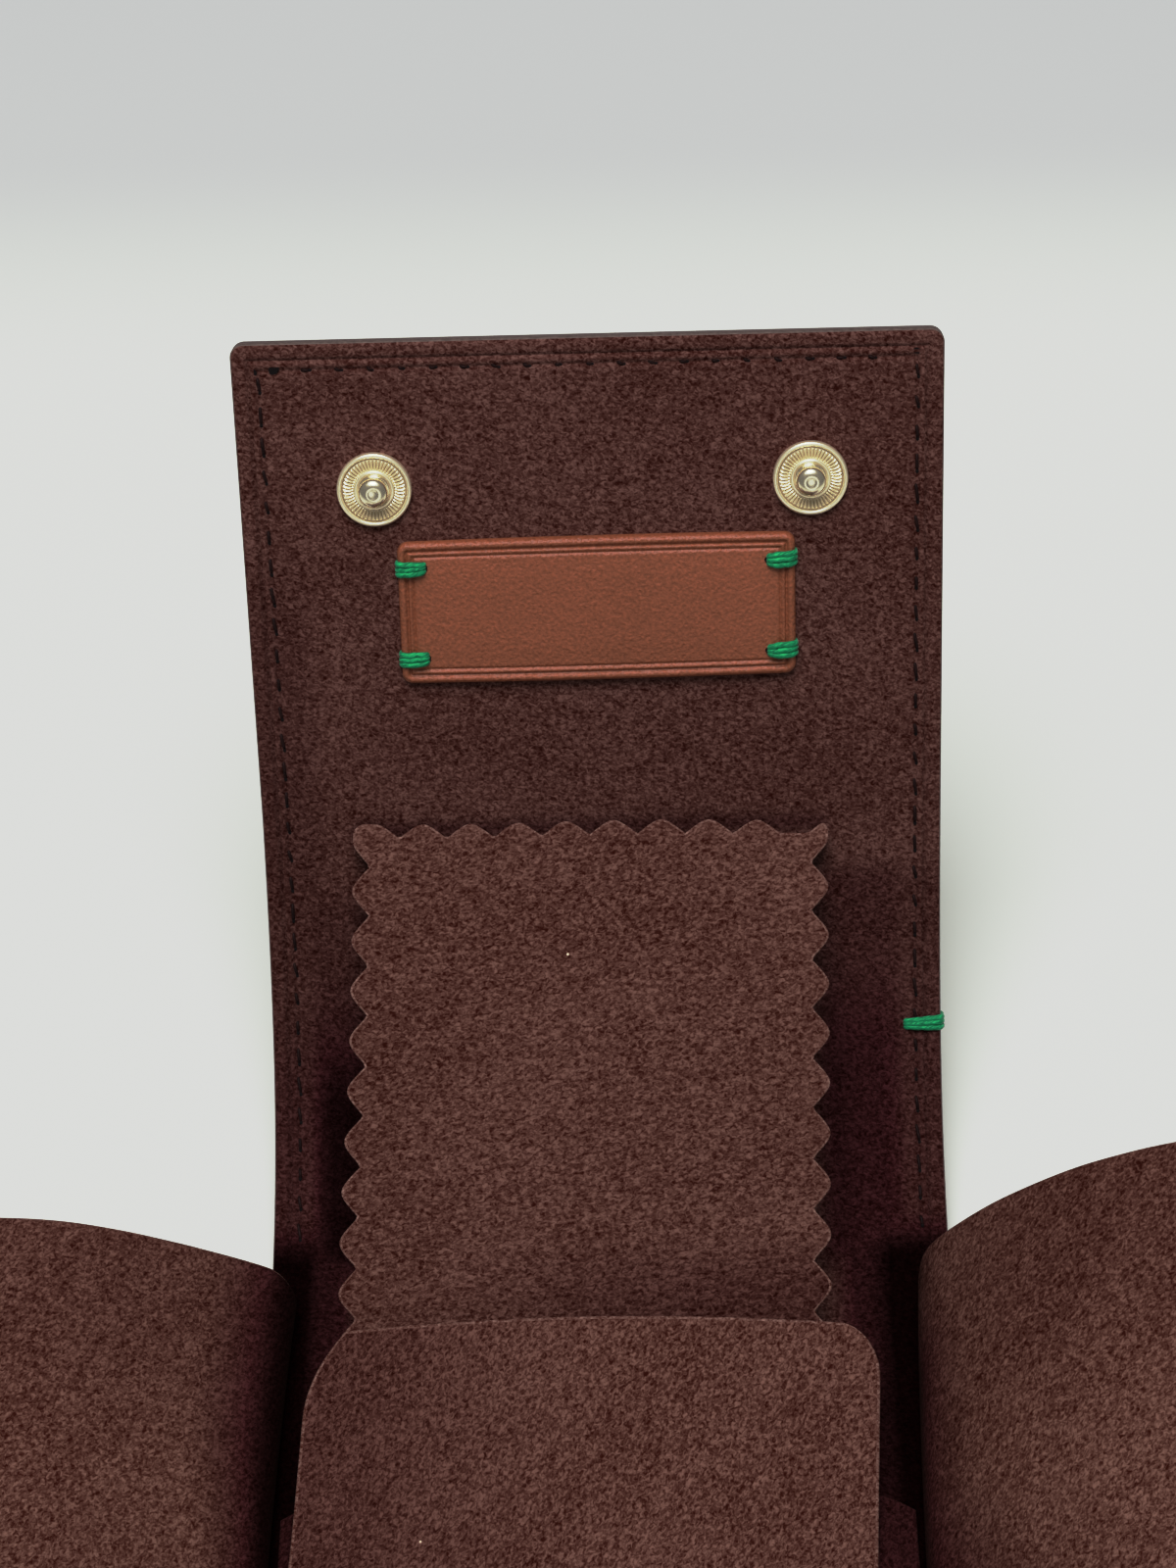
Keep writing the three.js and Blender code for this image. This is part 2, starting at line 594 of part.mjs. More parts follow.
function tongueLoops(line, inset) {
  const half = TONGUE_WIDTH / 2 - inset;
  const loops = [];
  for (let i = 1; i < line.starts.length - 1; i += 1) {
    const [from, to] = [line.starts[i - 1], line.starts[i]];
    loops.push([[-half, from], [half, from], [half, to], [-half, to]]);
  }
  const from = line.starts[line.starts.length - 2];
  const shoulder = line.length - inset - TONGUE_ARCH;
  const corner = half - TONGUE_CORNER_RADIUS;
  const outline = new THREE.Shape();
  outline.moveTo(-half, from);
  outline.lineTo(half, from);
  outline.lineTo(half, shoulder - TONGUE_CORNER_RADIUS);
  outline.absarc(corner, shoulder - TONGUE_CORNER_RADIUS, TONGUE_CORNER_RADIUS, 0, Math.PI / 2);
  outline.quadraticCurveTo(0, shoulder + 2 * TONGUE_ARCH, -corner, shoulder);
  outline.absarc(-corner, shoulder - TONGUE_CORNER_RADIUS, TONGUE_CORNER_RADIUS, Math.PI / 2, Math.PI);
  const ends = outline.getPoints(CURVE_STEPS).map((point) => [point.x, point.y]);
  loops.push(ends);
  return loops;
}

function tongueGroup() {
  const group = groupAt(0, TONGUE_HINGE_Y, TONGUE_TOP);
  group.name = 'tongue';
  const line = tongueLine();
  const backDrop = TONGUE_FACE_THICKNESS + TOUCH_GAP;
  const face = sheet(tongueLoops(line, 0), along(line, 0, TONGUE_FACE_THICKNESS));
  const back = sheet(tongueLoops(line, TONGUE_BACK_INSET), along(line, backDrop, TONGUE_BACK_THICKNESS));
  for (const geometry of [face, back]) geometry.translate(0, -TONGUE_HINGE_Y, -TONGUE_TOP);
  return group.add(piece('tongue_face', face, clothSuede), piece('tongue_back', back, clothSuede));
}

function tongueRoot() {
  const half = TONGUE_WIDTH / 2;
  const low = [-half, TONGUE_ROOT_Y, POCKET_TOP + TOUCH_GAP];
  const high = [half, TONGUE_HINGE_Y - FOLD_GAP / 2, TONGUE_TOP];
  return piece('tongue_root', boxBetween(low, high), clothSuede);
}

// Polishing cloth: its tail lies in the pocket, it passes under the tongue's end and leans on the flap

function clothLine() {
  const flapHeading = THREE.MathUtils.degToRad(totalTurn(FAR_REST_DEGREES));
  const flapRoot = lastFold(FAR_REST_DEGREES, FAR_BAND_LENGTH);
  const offFlap = CLOTH_THICKNESS + CLOTH_GAP;
  const topY = BASE_LENGTH / 2 + flapRoot.x;
  const top = [
    topY + CLOTH_LEAN * Math.cos(flapHeading) - offFlap * Math.sin(flapHeading),
    STRIP_THICKNESS + flapRoot.y + CLOTH_LEAN * Math.sin(flapHeading) + offFlap * Math.cos(flapHeading),
  ];
  const tongue = tongueLine();
  const tongueThickness = TONGUE_FACE_THICKNESS + TOUCH_GAP + TONGUE_BACK_THICKNESS;
  const { place, normal } = tongue.at(tongue.length);
  const pass = [
    place.x - normal[0] * (tongueThickness + CLOTH_GAP),
    place.y - normal[1] * (tongueThickness + CLOTH_GAP),
  ];
  const foot = [POCKET_MOUTH_Y + POCKET_MOUTH_BOW + CLOTH_GAP, CLOTH_TAIL_TOP];
  const exposed = bentLine([foot, pass, top]).length;
  return bentLine([[foot[0] - (CLOTH_LENGTH - exposed), CLOTH_TAIL_TOP], foot, pass, top]);
}

// How far a pinked edge is cut back, t counted in teeth: nothing at a tip, all at a notch
function pinked(t) {
  return PINK_DEPTH * 2 * Math.abs(t - Math.round(t));
}

function clothLoops(line) {
  const half = CLOTH_WIDTH / 2;
  const sidePitch = CLOTH_LENGTH / Math.round(CLOTH_LENGTH / PINK_PITCH);
  const endPitch = CLOTH_WIDTH / Math.round(CLOTH_WIDTH / PINK_PITCH);
  const halfAt = (s) => half - pinked(s / sidePitch);
  const stationsBetween = (from, to) => {
    const stations = [from];
    const firstStep = Math.floor((2 * from) / sidePitch) + 1;
    for (let step = firstStep; (step * sidePitch) / 2 < to - SHORTEST_EDGE; step += 1) {
      stations.push((step * sidePitch) / 2);
    }
    return [...stations, to];
  };
  const endPoints = (s, inward) => {
    const points = [];
    for (let step = 1; step * endPitch < 2 * CLOTH_WIDTH - endPitch / 2; step += 1) {
      points.push([-half + (step * endPitch) / 2, s + inward * pinked(step / 2)]);
    }
    return points;
  };
  const legs = line.starts.length - 1;
  return line.starts.slice(1).map((to, leg) => {
    const stations = stationsBetween(line.starts[leg], to);
    const right = stations.map((s) => [halfAt(s), s]);
    const left = stations.map((s) => [-halfAt(s), s]).reverse();
    const topEdge = leg === legs - 1 ? endPoints(to, -1).reverse() : [];
    const tailEdge = leg === 0 ? endPoints(0, 1) : [];
    return [...right, ...topEdge, ...left, ...tailEdge];
  });
}

function clothPiece() {
  const line = clothLine();
  const cloth = sheet(clothLoops(line), along(line, 0, CLOTH_THICKNESS));
  return piece('polishing_cloth', cloth, clothSuede);
}

// Wings

// The middle line of a wing's section: place and heading at each arc length
function wingLine(wing, arcs) {
  const tip = THREE.MathUtils.degToRad(wing.tipDegrees);
  const root = THREE.MathUtils.degToRad(WING_ROOT_DEGREES);
  const headingAt = (arc) => tip + (root - tip) * Math.exp(-arc / wing.easing);
  const stride = 0.1;
  const place = new THREE.Vector2(WING_ROOT_X, STRIP_THICKNESS + WING_LIFT);
  let walked = 0;
  return arcs.map((arc) => {
    while (walked < arc) {
      const step = Math.min(stride, arc - walked);
      const heading = headingAt(walked + step / 2);
      place.x += step * Math.cos(heading);
      place.y += step * Math.sin(heading);
      walked += step;
    }
    return { x: place.x, z: place.y, heading: headingAt(arc) };
  });
}

// A point of the section, off the middle line towards the inside of the pouch
function offWing(wing, { x, z, heading }, inward) {
  return [wing.side * (x - inward * Math.sin(heading)), z + inward * Math.cos(heading)];
}

// One stretch of the sheet, from one arc length to another. Its outer face starts later by a relief.
function wingSheet(wing, from, to, relief, axis) {
  const face = (start, inward) => {
    const arcs = Array.from({ length: WING_STEPS + 1 }, (_, i) => start + ((to - start) * i) / WING_STEPS);
    return wingLine(wing, arcs).map((point) => offWing(wing, point, inward));
  };
  const inner = face(from, WING_THICKNESS / 2);
  const outer = face(from + relief, -WING_THICKNESS / 2);
  const section = [...outer, ...inner.reverse()];
  return extrudedAlongY(section, WING_LENGTH, 0).translate(-axis[0], 0, -axis[1]);
}

function wingGroup(wing, word) {
  const coverFrom = WING_WALL_ARC + FOLD_GAP;
  const [rootPoint, foldPoint] = wingLine(wing, [0, WING_WALL_ARC + FOLD_GAP / 2]);
  const rootAxis = offWing(wing, rootPoint, WING_THICKNESS / 2);
  const foldAxis = offWing(wing, foldPoint, WING_THICKNESS / 2);
  const wall = groupAt(rootAxis[0], 0, rootAxis[1]);
  wall.name = `wing_${word}_wall_fold`;
  const cover = groupAt(foldAxis[0] - rootAxis[0], 0, foldAxis[1] - rootAxis[1]);
  cover.name = `wing_${word}_cover_fold`;
  const coverTo = coverFrom + WING_COVER_ARC;
  const wallSheet = wingSheet(wing, 0, WING_WALL_ARC, 0, rootAxis);
  const coverSheet = wingSheet(wing, coverFrom, coverTo, WING_FOLD_RELIEF, foldAxis);
  cover.add(piece(`wing_${word}_cover`, coverSheet, clothSuede));
  return wall.add(piece(`wing_${word}_wall`, wallSheet, clothSuede), cover);
}

// Assembly

function basePieces() {
  const base = groupAt(0, 0, STRIP_THICKNESS);
  const edge = BASE_LENGTH / 2 - FOLD_GAP / 2;
  return base.add(...panelPieces('base', -edge, edge, false, [], [], []));
}

function flapChain() {
  const chain = groupAt(0, BASE_LENGTH / 2, STRIP_THICKNESS);
  const liningHoles = snapHoles(STUD_FROM_ROOT, SHANK_HOLE_RADIUS, -STRIP_THICKNESS, STRIP_THICKNESS);
  const boardHoles = snapHoles(STUD_FROM_ROOT, FLANGE_HOLE_RADIUS, -STRIP_THICKNESS, 0);
  const flap = panelPieces('flap', FOLD_GAP / 2, FLAP_LENGTH, true, boardHoles, [], liningHoles);
  const end = [...flap, studSet(-1, 'left'), studSet(1, 'right'), ...labelPieces()];
  foldChain(chain, 'far', FAR_REST_DEGREES, FAR_BAND_LENGTH, end);
  chain.getObjectByName(`far_bend_${EDGE_TACK_BAND + 1}`).add(edgeTack());
  return chain;
}

function frontChain() {
  const chain = groupAt(0, -BASE_LENGTH / 2, STRIP_THICKNESS);
  chain.rotation.z = Math.PI;
  const below = -2 * STRIP_THICKNESS;
  const leatherHoles = snapHoles(SOCKET_FROM_ROOT, SHANK_HOLE_RADIUS, below, 0);
  const boardHoles = snapHoles(SOCKET_FROM_ROOT, FLANGE_HOLE_RADIUS, below, 0);
  const front = panelPieces('front', FOLD_GAP / 2, FRONT_LENGTH, true, boardHoles, leatherHoles, []);
  const end = [...front, socketSet(1, 'left'), socketSet(-1, 'right')];
  return foldChain(chain, 'near', NEAR_REST_DEGREES, NEAR_BAND_LENGTH, end);
}

const pouch = new THREE.Group();
pouch.name = 'watch_travel_pouch';
pouch.add(basePieces(), flapChain(), frontChain());
pouch.add(pocketPiece(), tongueRoot(), tongueGroup(), clothPiece());
pouch.add(wingGroup(LEFT_WING, 'left'), wingGroup(RIGHT_WING, 'right'));

export default pouch;
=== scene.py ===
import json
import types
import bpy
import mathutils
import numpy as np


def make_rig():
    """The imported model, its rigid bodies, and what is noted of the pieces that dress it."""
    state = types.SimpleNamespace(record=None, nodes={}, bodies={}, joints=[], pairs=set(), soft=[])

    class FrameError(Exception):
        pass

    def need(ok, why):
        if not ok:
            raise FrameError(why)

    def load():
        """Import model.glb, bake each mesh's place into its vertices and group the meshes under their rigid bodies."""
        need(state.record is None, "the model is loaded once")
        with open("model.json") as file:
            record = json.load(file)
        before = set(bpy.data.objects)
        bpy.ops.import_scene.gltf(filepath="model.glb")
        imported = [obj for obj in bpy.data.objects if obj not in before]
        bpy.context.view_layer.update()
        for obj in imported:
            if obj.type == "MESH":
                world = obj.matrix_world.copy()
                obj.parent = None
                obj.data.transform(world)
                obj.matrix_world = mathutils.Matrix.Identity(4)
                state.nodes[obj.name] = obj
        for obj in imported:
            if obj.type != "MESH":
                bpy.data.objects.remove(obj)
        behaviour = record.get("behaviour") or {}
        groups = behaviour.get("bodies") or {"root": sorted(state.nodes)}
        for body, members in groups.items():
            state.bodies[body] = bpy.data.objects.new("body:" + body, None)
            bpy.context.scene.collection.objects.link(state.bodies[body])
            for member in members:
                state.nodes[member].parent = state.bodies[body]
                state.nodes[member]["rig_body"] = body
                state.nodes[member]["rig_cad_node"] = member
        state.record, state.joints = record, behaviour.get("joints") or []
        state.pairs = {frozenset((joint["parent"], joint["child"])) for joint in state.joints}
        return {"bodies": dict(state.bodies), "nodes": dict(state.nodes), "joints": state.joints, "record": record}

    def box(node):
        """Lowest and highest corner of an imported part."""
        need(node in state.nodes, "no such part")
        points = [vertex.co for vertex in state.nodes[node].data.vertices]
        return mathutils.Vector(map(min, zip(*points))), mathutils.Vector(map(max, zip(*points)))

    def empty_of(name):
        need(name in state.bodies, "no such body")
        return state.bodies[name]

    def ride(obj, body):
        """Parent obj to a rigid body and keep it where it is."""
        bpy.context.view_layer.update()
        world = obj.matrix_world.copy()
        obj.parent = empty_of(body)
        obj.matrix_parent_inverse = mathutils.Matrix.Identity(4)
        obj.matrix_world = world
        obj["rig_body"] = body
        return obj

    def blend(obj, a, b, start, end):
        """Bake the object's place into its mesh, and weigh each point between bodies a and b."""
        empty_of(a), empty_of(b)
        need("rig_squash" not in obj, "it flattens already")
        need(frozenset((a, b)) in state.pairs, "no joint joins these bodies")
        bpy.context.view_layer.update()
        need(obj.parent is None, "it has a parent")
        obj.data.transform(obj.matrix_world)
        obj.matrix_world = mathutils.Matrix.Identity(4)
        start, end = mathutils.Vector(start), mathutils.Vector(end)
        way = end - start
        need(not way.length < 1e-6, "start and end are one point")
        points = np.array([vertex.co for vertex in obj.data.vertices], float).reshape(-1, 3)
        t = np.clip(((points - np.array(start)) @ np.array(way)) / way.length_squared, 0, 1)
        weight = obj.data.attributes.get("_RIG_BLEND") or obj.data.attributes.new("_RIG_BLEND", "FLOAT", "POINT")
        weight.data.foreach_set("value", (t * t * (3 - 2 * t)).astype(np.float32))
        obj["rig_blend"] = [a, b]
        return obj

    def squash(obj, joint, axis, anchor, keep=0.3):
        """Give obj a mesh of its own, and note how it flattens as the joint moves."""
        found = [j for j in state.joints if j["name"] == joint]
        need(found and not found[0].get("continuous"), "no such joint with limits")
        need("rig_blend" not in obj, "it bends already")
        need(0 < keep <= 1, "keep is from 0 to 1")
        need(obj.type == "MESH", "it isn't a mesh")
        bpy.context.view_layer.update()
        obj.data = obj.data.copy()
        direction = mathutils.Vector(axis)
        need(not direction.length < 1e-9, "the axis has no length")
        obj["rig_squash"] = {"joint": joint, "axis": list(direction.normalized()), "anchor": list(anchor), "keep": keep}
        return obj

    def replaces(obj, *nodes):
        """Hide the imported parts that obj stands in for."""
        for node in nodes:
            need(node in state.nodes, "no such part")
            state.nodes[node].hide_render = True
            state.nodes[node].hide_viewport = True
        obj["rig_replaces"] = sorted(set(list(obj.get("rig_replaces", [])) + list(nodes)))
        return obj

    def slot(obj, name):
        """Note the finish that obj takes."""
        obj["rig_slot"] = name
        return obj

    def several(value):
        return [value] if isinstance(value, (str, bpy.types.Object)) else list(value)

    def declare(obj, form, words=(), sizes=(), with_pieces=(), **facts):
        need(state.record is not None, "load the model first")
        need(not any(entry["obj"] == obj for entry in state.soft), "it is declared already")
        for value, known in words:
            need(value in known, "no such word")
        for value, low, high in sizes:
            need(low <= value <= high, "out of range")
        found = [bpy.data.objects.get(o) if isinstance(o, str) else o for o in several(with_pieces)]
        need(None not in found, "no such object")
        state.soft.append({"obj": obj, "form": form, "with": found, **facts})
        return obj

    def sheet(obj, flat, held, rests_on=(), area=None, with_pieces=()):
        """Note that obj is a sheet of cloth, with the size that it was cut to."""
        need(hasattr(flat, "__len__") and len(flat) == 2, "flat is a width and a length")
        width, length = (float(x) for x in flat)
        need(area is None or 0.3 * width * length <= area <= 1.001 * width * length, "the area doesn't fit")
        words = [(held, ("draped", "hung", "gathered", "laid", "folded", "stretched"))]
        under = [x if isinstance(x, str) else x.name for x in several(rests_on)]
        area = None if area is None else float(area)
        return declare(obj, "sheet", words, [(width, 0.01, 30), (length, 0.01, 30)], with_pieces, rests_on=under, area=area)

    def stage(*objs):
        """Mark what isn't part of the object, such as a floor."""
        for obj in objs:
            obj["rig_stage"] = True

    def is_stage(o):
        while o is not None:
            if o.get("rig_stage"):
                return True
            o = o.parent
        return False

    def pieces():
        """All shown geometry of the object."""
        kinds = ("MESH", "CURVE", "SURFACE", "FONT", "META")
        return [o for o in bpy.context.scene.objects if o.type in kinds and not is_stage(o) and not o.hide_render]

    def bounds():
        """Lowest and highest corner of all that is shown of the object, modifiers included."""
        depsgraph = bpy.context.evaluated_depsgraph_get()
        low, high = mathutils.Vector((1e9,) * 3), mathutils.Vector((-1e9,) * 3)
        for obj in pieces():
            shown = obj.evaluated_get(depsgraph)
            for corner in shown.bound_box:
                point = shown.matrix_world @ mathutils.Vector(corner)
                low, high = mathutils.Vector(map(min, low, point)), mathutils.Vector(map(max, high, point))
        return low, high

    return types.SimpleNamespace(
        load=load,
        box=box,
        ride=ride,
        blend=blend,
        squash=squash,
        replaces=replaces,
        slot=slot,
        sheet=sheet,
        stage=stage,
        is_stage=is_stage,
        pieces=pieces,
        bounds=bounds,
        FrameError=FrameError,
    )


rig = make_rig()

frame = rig.load()
cad_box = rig.bounds()

import json
import math

import bpy
import numpy as np
from mathutils import Matrix

MM = 0.001  # everything below is in millimetres until it becomes a mesh

# Strip
HALF_WIDTH = 43.0
STRIP_THICKNESS = 3.0
LINING_BACK = 1.3  # depth of the lining's back below its face
LEATHER_FRONT = 1.32  # depth of the leather's hidden face at the seams
BOARD_POCKET = 2.45  # depth of the same face over a stiffening board
BOARD_MARGIN = 6.6
FLAP_LENGTH = 68.0
FLAP_HEADING = 59.0
FRONT_LENGTH = 31.9
FRONT_HEADING = 20.0
STRIP_CORNER = 1.7
BEND_ROWS = 25
BASE_ROWS = 28
EDGE_STEPS = np.array([
    0, 0.05, 0.15, 0.3, 0.5, 0.75, 1.0, 1.3, 1.6, 1.78, 1.92, 2.05, 2.18, 2.32, 2.5,
    2.7, 2.9, 3.05, 3.2, 3.35, 3.5, 3.7, 4.0, 4.6,
])
PAINTED_BAND = 0.12  # how far the edge paint reaches onto the lining
STITCH_INSET = 3.28
STITCH_PITCH = 3.8
STITCH_LENGTH = 2.1
CROSS_STITCH_LENGTH = 0.85  # in the rows across the strip
THREAD_RADIUS = 0.2
PLY_DEPTH = 0.05  # how far a thread's plies stand out, of its radius
WINGS_COVER = 46.0  # half the length of the side rows that the wings' roots hide
CORNER_STITCH = 5.0  # from the free edge to the first stitch of a side row
FLAP_SPLAY = 0.55  # how far the flap's left edge spreads at its free end

# Snaps, label and tacks
SNAP_X = 26.7
STUD_FROM_ROOT = 49.8
STUD_OFF = 0.24  # how far the right stud sits above the left
LABEL_HALF = 24.5
LABEL_SHIFT = 0.25
LABEL_TILT = 0.006
LABEL_FROM = 25.2  # its two edges, from the flap's root
LABEL_TO = 43.2
LABEL_THICKNESS = 1.2
LABEL_CORNER = 1.3
LABEL_BOW = 0.28
TACK_FROM_CORNER = 3.2
TACK_REACH = 3.25
TACK_WIDTH = 1.9
EDGE_TACK_REACH = 4.6
EDGE_TACK_WIDTH = 1.85
TACK_STRANDS = 3

# Tongue, pocket, cloth and wings
TONGUE_HALF = 35.0
TONGUE_TOP = 7.3
TONGUE_SPLIT = -24.0  # where the sewn root ends and the loose tongue starts
TONGUE_ROOT = -37.0
TONGUE_END = 30.0
TONGUE_ARC = 16.0  # radius of its left corner
TONGUE_ARC_REACH = 11.0
TONGUE_CORNER = (5.2, 6.6)  # across and along, right corner
TONGUE_BEND = (-4.0, 8.0)  # where its end starts to turn up and where the turn is done
TONGUE_RISE = 13.5  # degrees
TONGUE_BOW = 1.7  # how far the corners of its end lie behind the middle
TONGUE_SHIFT = -3.3
TONGUE_LEAN = 0.062  # how far it leans to the right, of its length
TONGUE_FACE = 1.0  # thickness of its upper layer
TONGUE_BACK = 0.8
POCKET_HALF = 38.2
CLOTH_HALF = 30.0
CLOTH_LENGTH = 102.0
CLOTH_THICKNESS = 0.8
PINK_SIDE = (5.4, 6.25, 2.2)  # from the corner to the first notch, pitch and depth
PINK_END = (5.8, 6.03, 1.8)
WING_THICKNESS = 1.8
WING_HALF = 39.6
WING_ARC = 63.0
WING_SPLIT = 13.0
WING_CORNER = 4.0
WING_AHEAD = 0.5  # from the middle of the base to the middle of a wing
WING_DRIFT = 2.4  # how far the wings lie to the left at their near ends
WING_PULL = 3.6  # how far the roots' far ends are pulled down into the crease

SIDES = ((-1, "left"), (1, "right"))
joint = {j["name"]: j for j in frame["joints"]}
scene = bpy.context.scene


# Shapes

def waves(a, b, seed):
    """A smooth irregular field of two coordinates, about -1 to 1."""
    source = np.random.default_rng(seed)
    total = 0
    for _ in range(6):
        turn = source.uniform(0, 2 * math.pi)
        rate = source.uniform(0.6, 1.7)
        phase = source.uniform(0, 2 * math.pi)
        total = total + np.sin(rate * (a * math.cos(turn) + b * math.sin(turn)) + phase)
    return total / 3


def smooth(t):
    t = np.clip(t, 0, 1)
    return t * t * (3 - 2 * t)


def unit(v):
    return v / np.linalg.norm(v, axis=-1, keepdims=True)


def bump(d, centre, width, height):
    return height * np.exp(-(((d - centre) / width) ** 2))


def edge_drop(d, radius, drop):
    """How far a face drops towards its rounded edge, at distance d from it."""
    t = np.clip(1 - d / radius, 0, 1)
    return -drop * (1 - np.sqrt(1 - t * t))


def spread(length, fine, step):
    """Places from 0 to length, close together near both ends."""
    count = max(2, round((length - 2 * fine[-1]) / step) + 1)
    middle = np.linspace(fine[-1], length - fine[-1], count)
    return np.concatenate([fine[:-1], middle, length - fine[:-1][::-1]])


def round_corner(a, b, radius):
    """Distances a and b from two edges, changed so that the corner between them is round."""
    u = np.clip(radius - a, 0, None)
    v = np.clip(radius - b, 0, None)
    both = (u > 0) & (v > 0)
    scale = np.where(both, np.maximum(u, v) / np.maximum(np.hypot(u, v), 1e-9), 1)
    return np.where(both, radius - u * scale, a), np.where(both, radius - v * scale, b)


def curve_through(points, count=1200):
    """A smooth line through the points and its length at each of its own points."""
    p = np.asarray(points, float)
    p = np.vstack([2 * p[0] - p[1], p, 2 * p[-1] - p[-2]])
    lines = []
    for a, b, c, d in zip(p, p[1:], p[2:], p[3:]):
        t = np.linspace(0, 1, count // len(points), endpoint=False)[:, None]
        lines.append(0.5 * (
            2 * b + (c - a) * t + (2 * a - 5 * b + 4 * c - d) * t**2
            + (3 * b - a - 3 * c + d) * t**3
        ))
    line = np.vstack(lines + [p[-2:-1]])
    length = np.concatenate([[0], np.cumsum(np.linalg.norm(np.diff(line, axis=0), axis=1))])
    return line, length


def along_curve(curve, s):
    """Points at lengths s along a curve, straight on beyond its ends."""
    line, length = curve
    s = np.asarray(s, float)
    inside = np.clip(s, 0, length[-1])
    found = np.stack([np.interp(inside, length, line[:, k]) for k in range(line.shape[1])], -1)
    return found + np.maximum(s - length[-1], 0)[..., None] * unit(line[-1] - line[-8])


def add_mesh(name, points, faces, materials, slots=None, flat=None, folds=None, sharp=55):
    """A smooth-shaded mesh. flat holds its points' flat places, folds how much painted shade darkens it."""
    mesh = bpy.data.meshes.new(name)
    mesh.from_pydata((np.asarray(points, float) * MM).tolist(), [], [list(f) for f in faces])
    for material in materials:
        mesh.materials.append(material)
    if slots is not None:
        mesh.polygons.foreach_set("material_index", np.asarray(slots, np.int32))
    mesh.shade_smooth()
    mesh.set_sharp_from_angle(angle=math.radians(sharp))
    places = np.asarray(points if flat is None else flat, np.float32)
    mesh.attributes.new("flat_place", "FLOAT_VECTOR", "POINT").data.foreach_set("vector", places.ravel())
    if folds is not None:
        values = np.asarray(folds, np.float32).ravel()
        mesh.attributes.new("fold_shade", "FLOAT", "POINT").data.foreach_set("value", values)
    made = bpy.data.objects.new(name, mesh)
    scene.collection.objects.link(made)
    return made


def solid(front, back):
    """A closed shell between two grids, with slot 0 on the front, 1 on the back and 2 round the rim."""
    rows, columns = front.shape[:2]
    count = rows * columns
    index = np.arange(count).reshape(rows, columns)
    corners = [index[:-1, :-1], index[:-1, 1:], index[1:, 1:], index[1:, :-1]]
    faces = np.stack(corners, -1).reshape(-1, 4)
    ring = np.concatenate([index[0, :-1], index[:-1, -1], index[-1, :0:-1], index[:0:-1, 0]])
    after = np.roll(ring, -1)
    rim = np.stack([after, ring, ring + count, after + count], -1)
    points = np.concatenate([front.reshape(-1, 3), back.reshape(-1, 3)])
    slots = np.repeat([0, 1, 2], [len(faces), len(faces), len(rim)])
    return points, np.concatenate([faces, faces[:, ::-1] + count, rim]), slots


def sheet_faces(surface, d, thickness, rim, given="middle", square=0.3):
    """Front and back grids of a sheet. square is its share of thickness at the edge, where d is 0."""
    normal = np.cross(np.gradient(surface, axis=1), np.gradient(surface, axis=0))
    normal /= np.maximum(np.linalg.norm(normal, axis=-1, keepdims=True), 1e-9)
    t = np.clip(1 - d / rim, 0, 1)
    half = (thickness / 2 * (square + (1 - square) * np.sqrt(1 - t * t)))[..., None]
    middle = surface - normal * (thickness / 2) if given == "front" else surface
    return middle + normal * half, middle - normal * half


def ring_faces(shape):
    """Faces of a form made of rings of points, its two ends closed."""
    index = np.arange(math.prod(shape)).reshape(shape)
    right = np.roll(index, -1, axis=1)
    faces = np.stack([index[:-1], index[1:], right[1:], right[:-1]], -1).reshape(-1, 4)
    return [*faces.tolist(), index[0].tolist(), index[-1, ::-1].tolist()]


def tube(path, radius, sides, plies=0, turns=0.0, flat_from=0.0):
    """A thread along a path. Plies twist round each other if turns is above 0."""
    path = np.asarray(path, float)
    tangent = unit(np.gradient(path, axis=0))
    side = unit(np.cross(tangent, [0.31, 0.23, 0.92]))
    other = np.cross(tangent, side)
    angle = np.linspace(0, 2 * math.pi, sides, endpoint=False)
    length = np.concatenate([[0], np.cumsum(np.linalg.norm(np.diff(path, axis=0), axis=1))])
    end = np.minimum(length, length[-1] - length)
    size = radius * np.sqrt(1 - np.clip(1 - end / radius, 0, 0.98) ** 2)
    twist = 1 + (PLY_DEPTH * np.cos(plies * (angle[None] - turns * length[:, None])) if plies else 0)
    r = size[:, None] * twist * np.ones_like(angle[None])
    out = np.cos(angle)[:, None] * side[:, None] + np.sin(angle)[:, None] * other[:, None]
    points = path[:, None] + r[..., None] * out
    flat = np.stack([length[:, None] + flat_from + 0 * r, angle * radius + 0 * r, 0 * r], -1)
    return points.reshape(-1, 3), ring_faces(r.shape), flat.reshape(-1, 3)


def joined(parts):
    """Several (points, faces, flat) lists as one."""
    points, part_faces, flats = zip(*parts)
    starts = np.cumsum([0] + [len(p) for p in points]).tolist()
    faces = [[i + start for i in face] for start, part in zip(starts, part_faces) for face in part]
    return np.concatenate(points), faces, np.concatenate(flats)


# Materials

ASKEW = (0.62, 0.41, 0.23)  # how each texture is turned against its piece


def shade(colour, factor):
    return (*(np.array(colour) * factor).tolist(), 1.0)


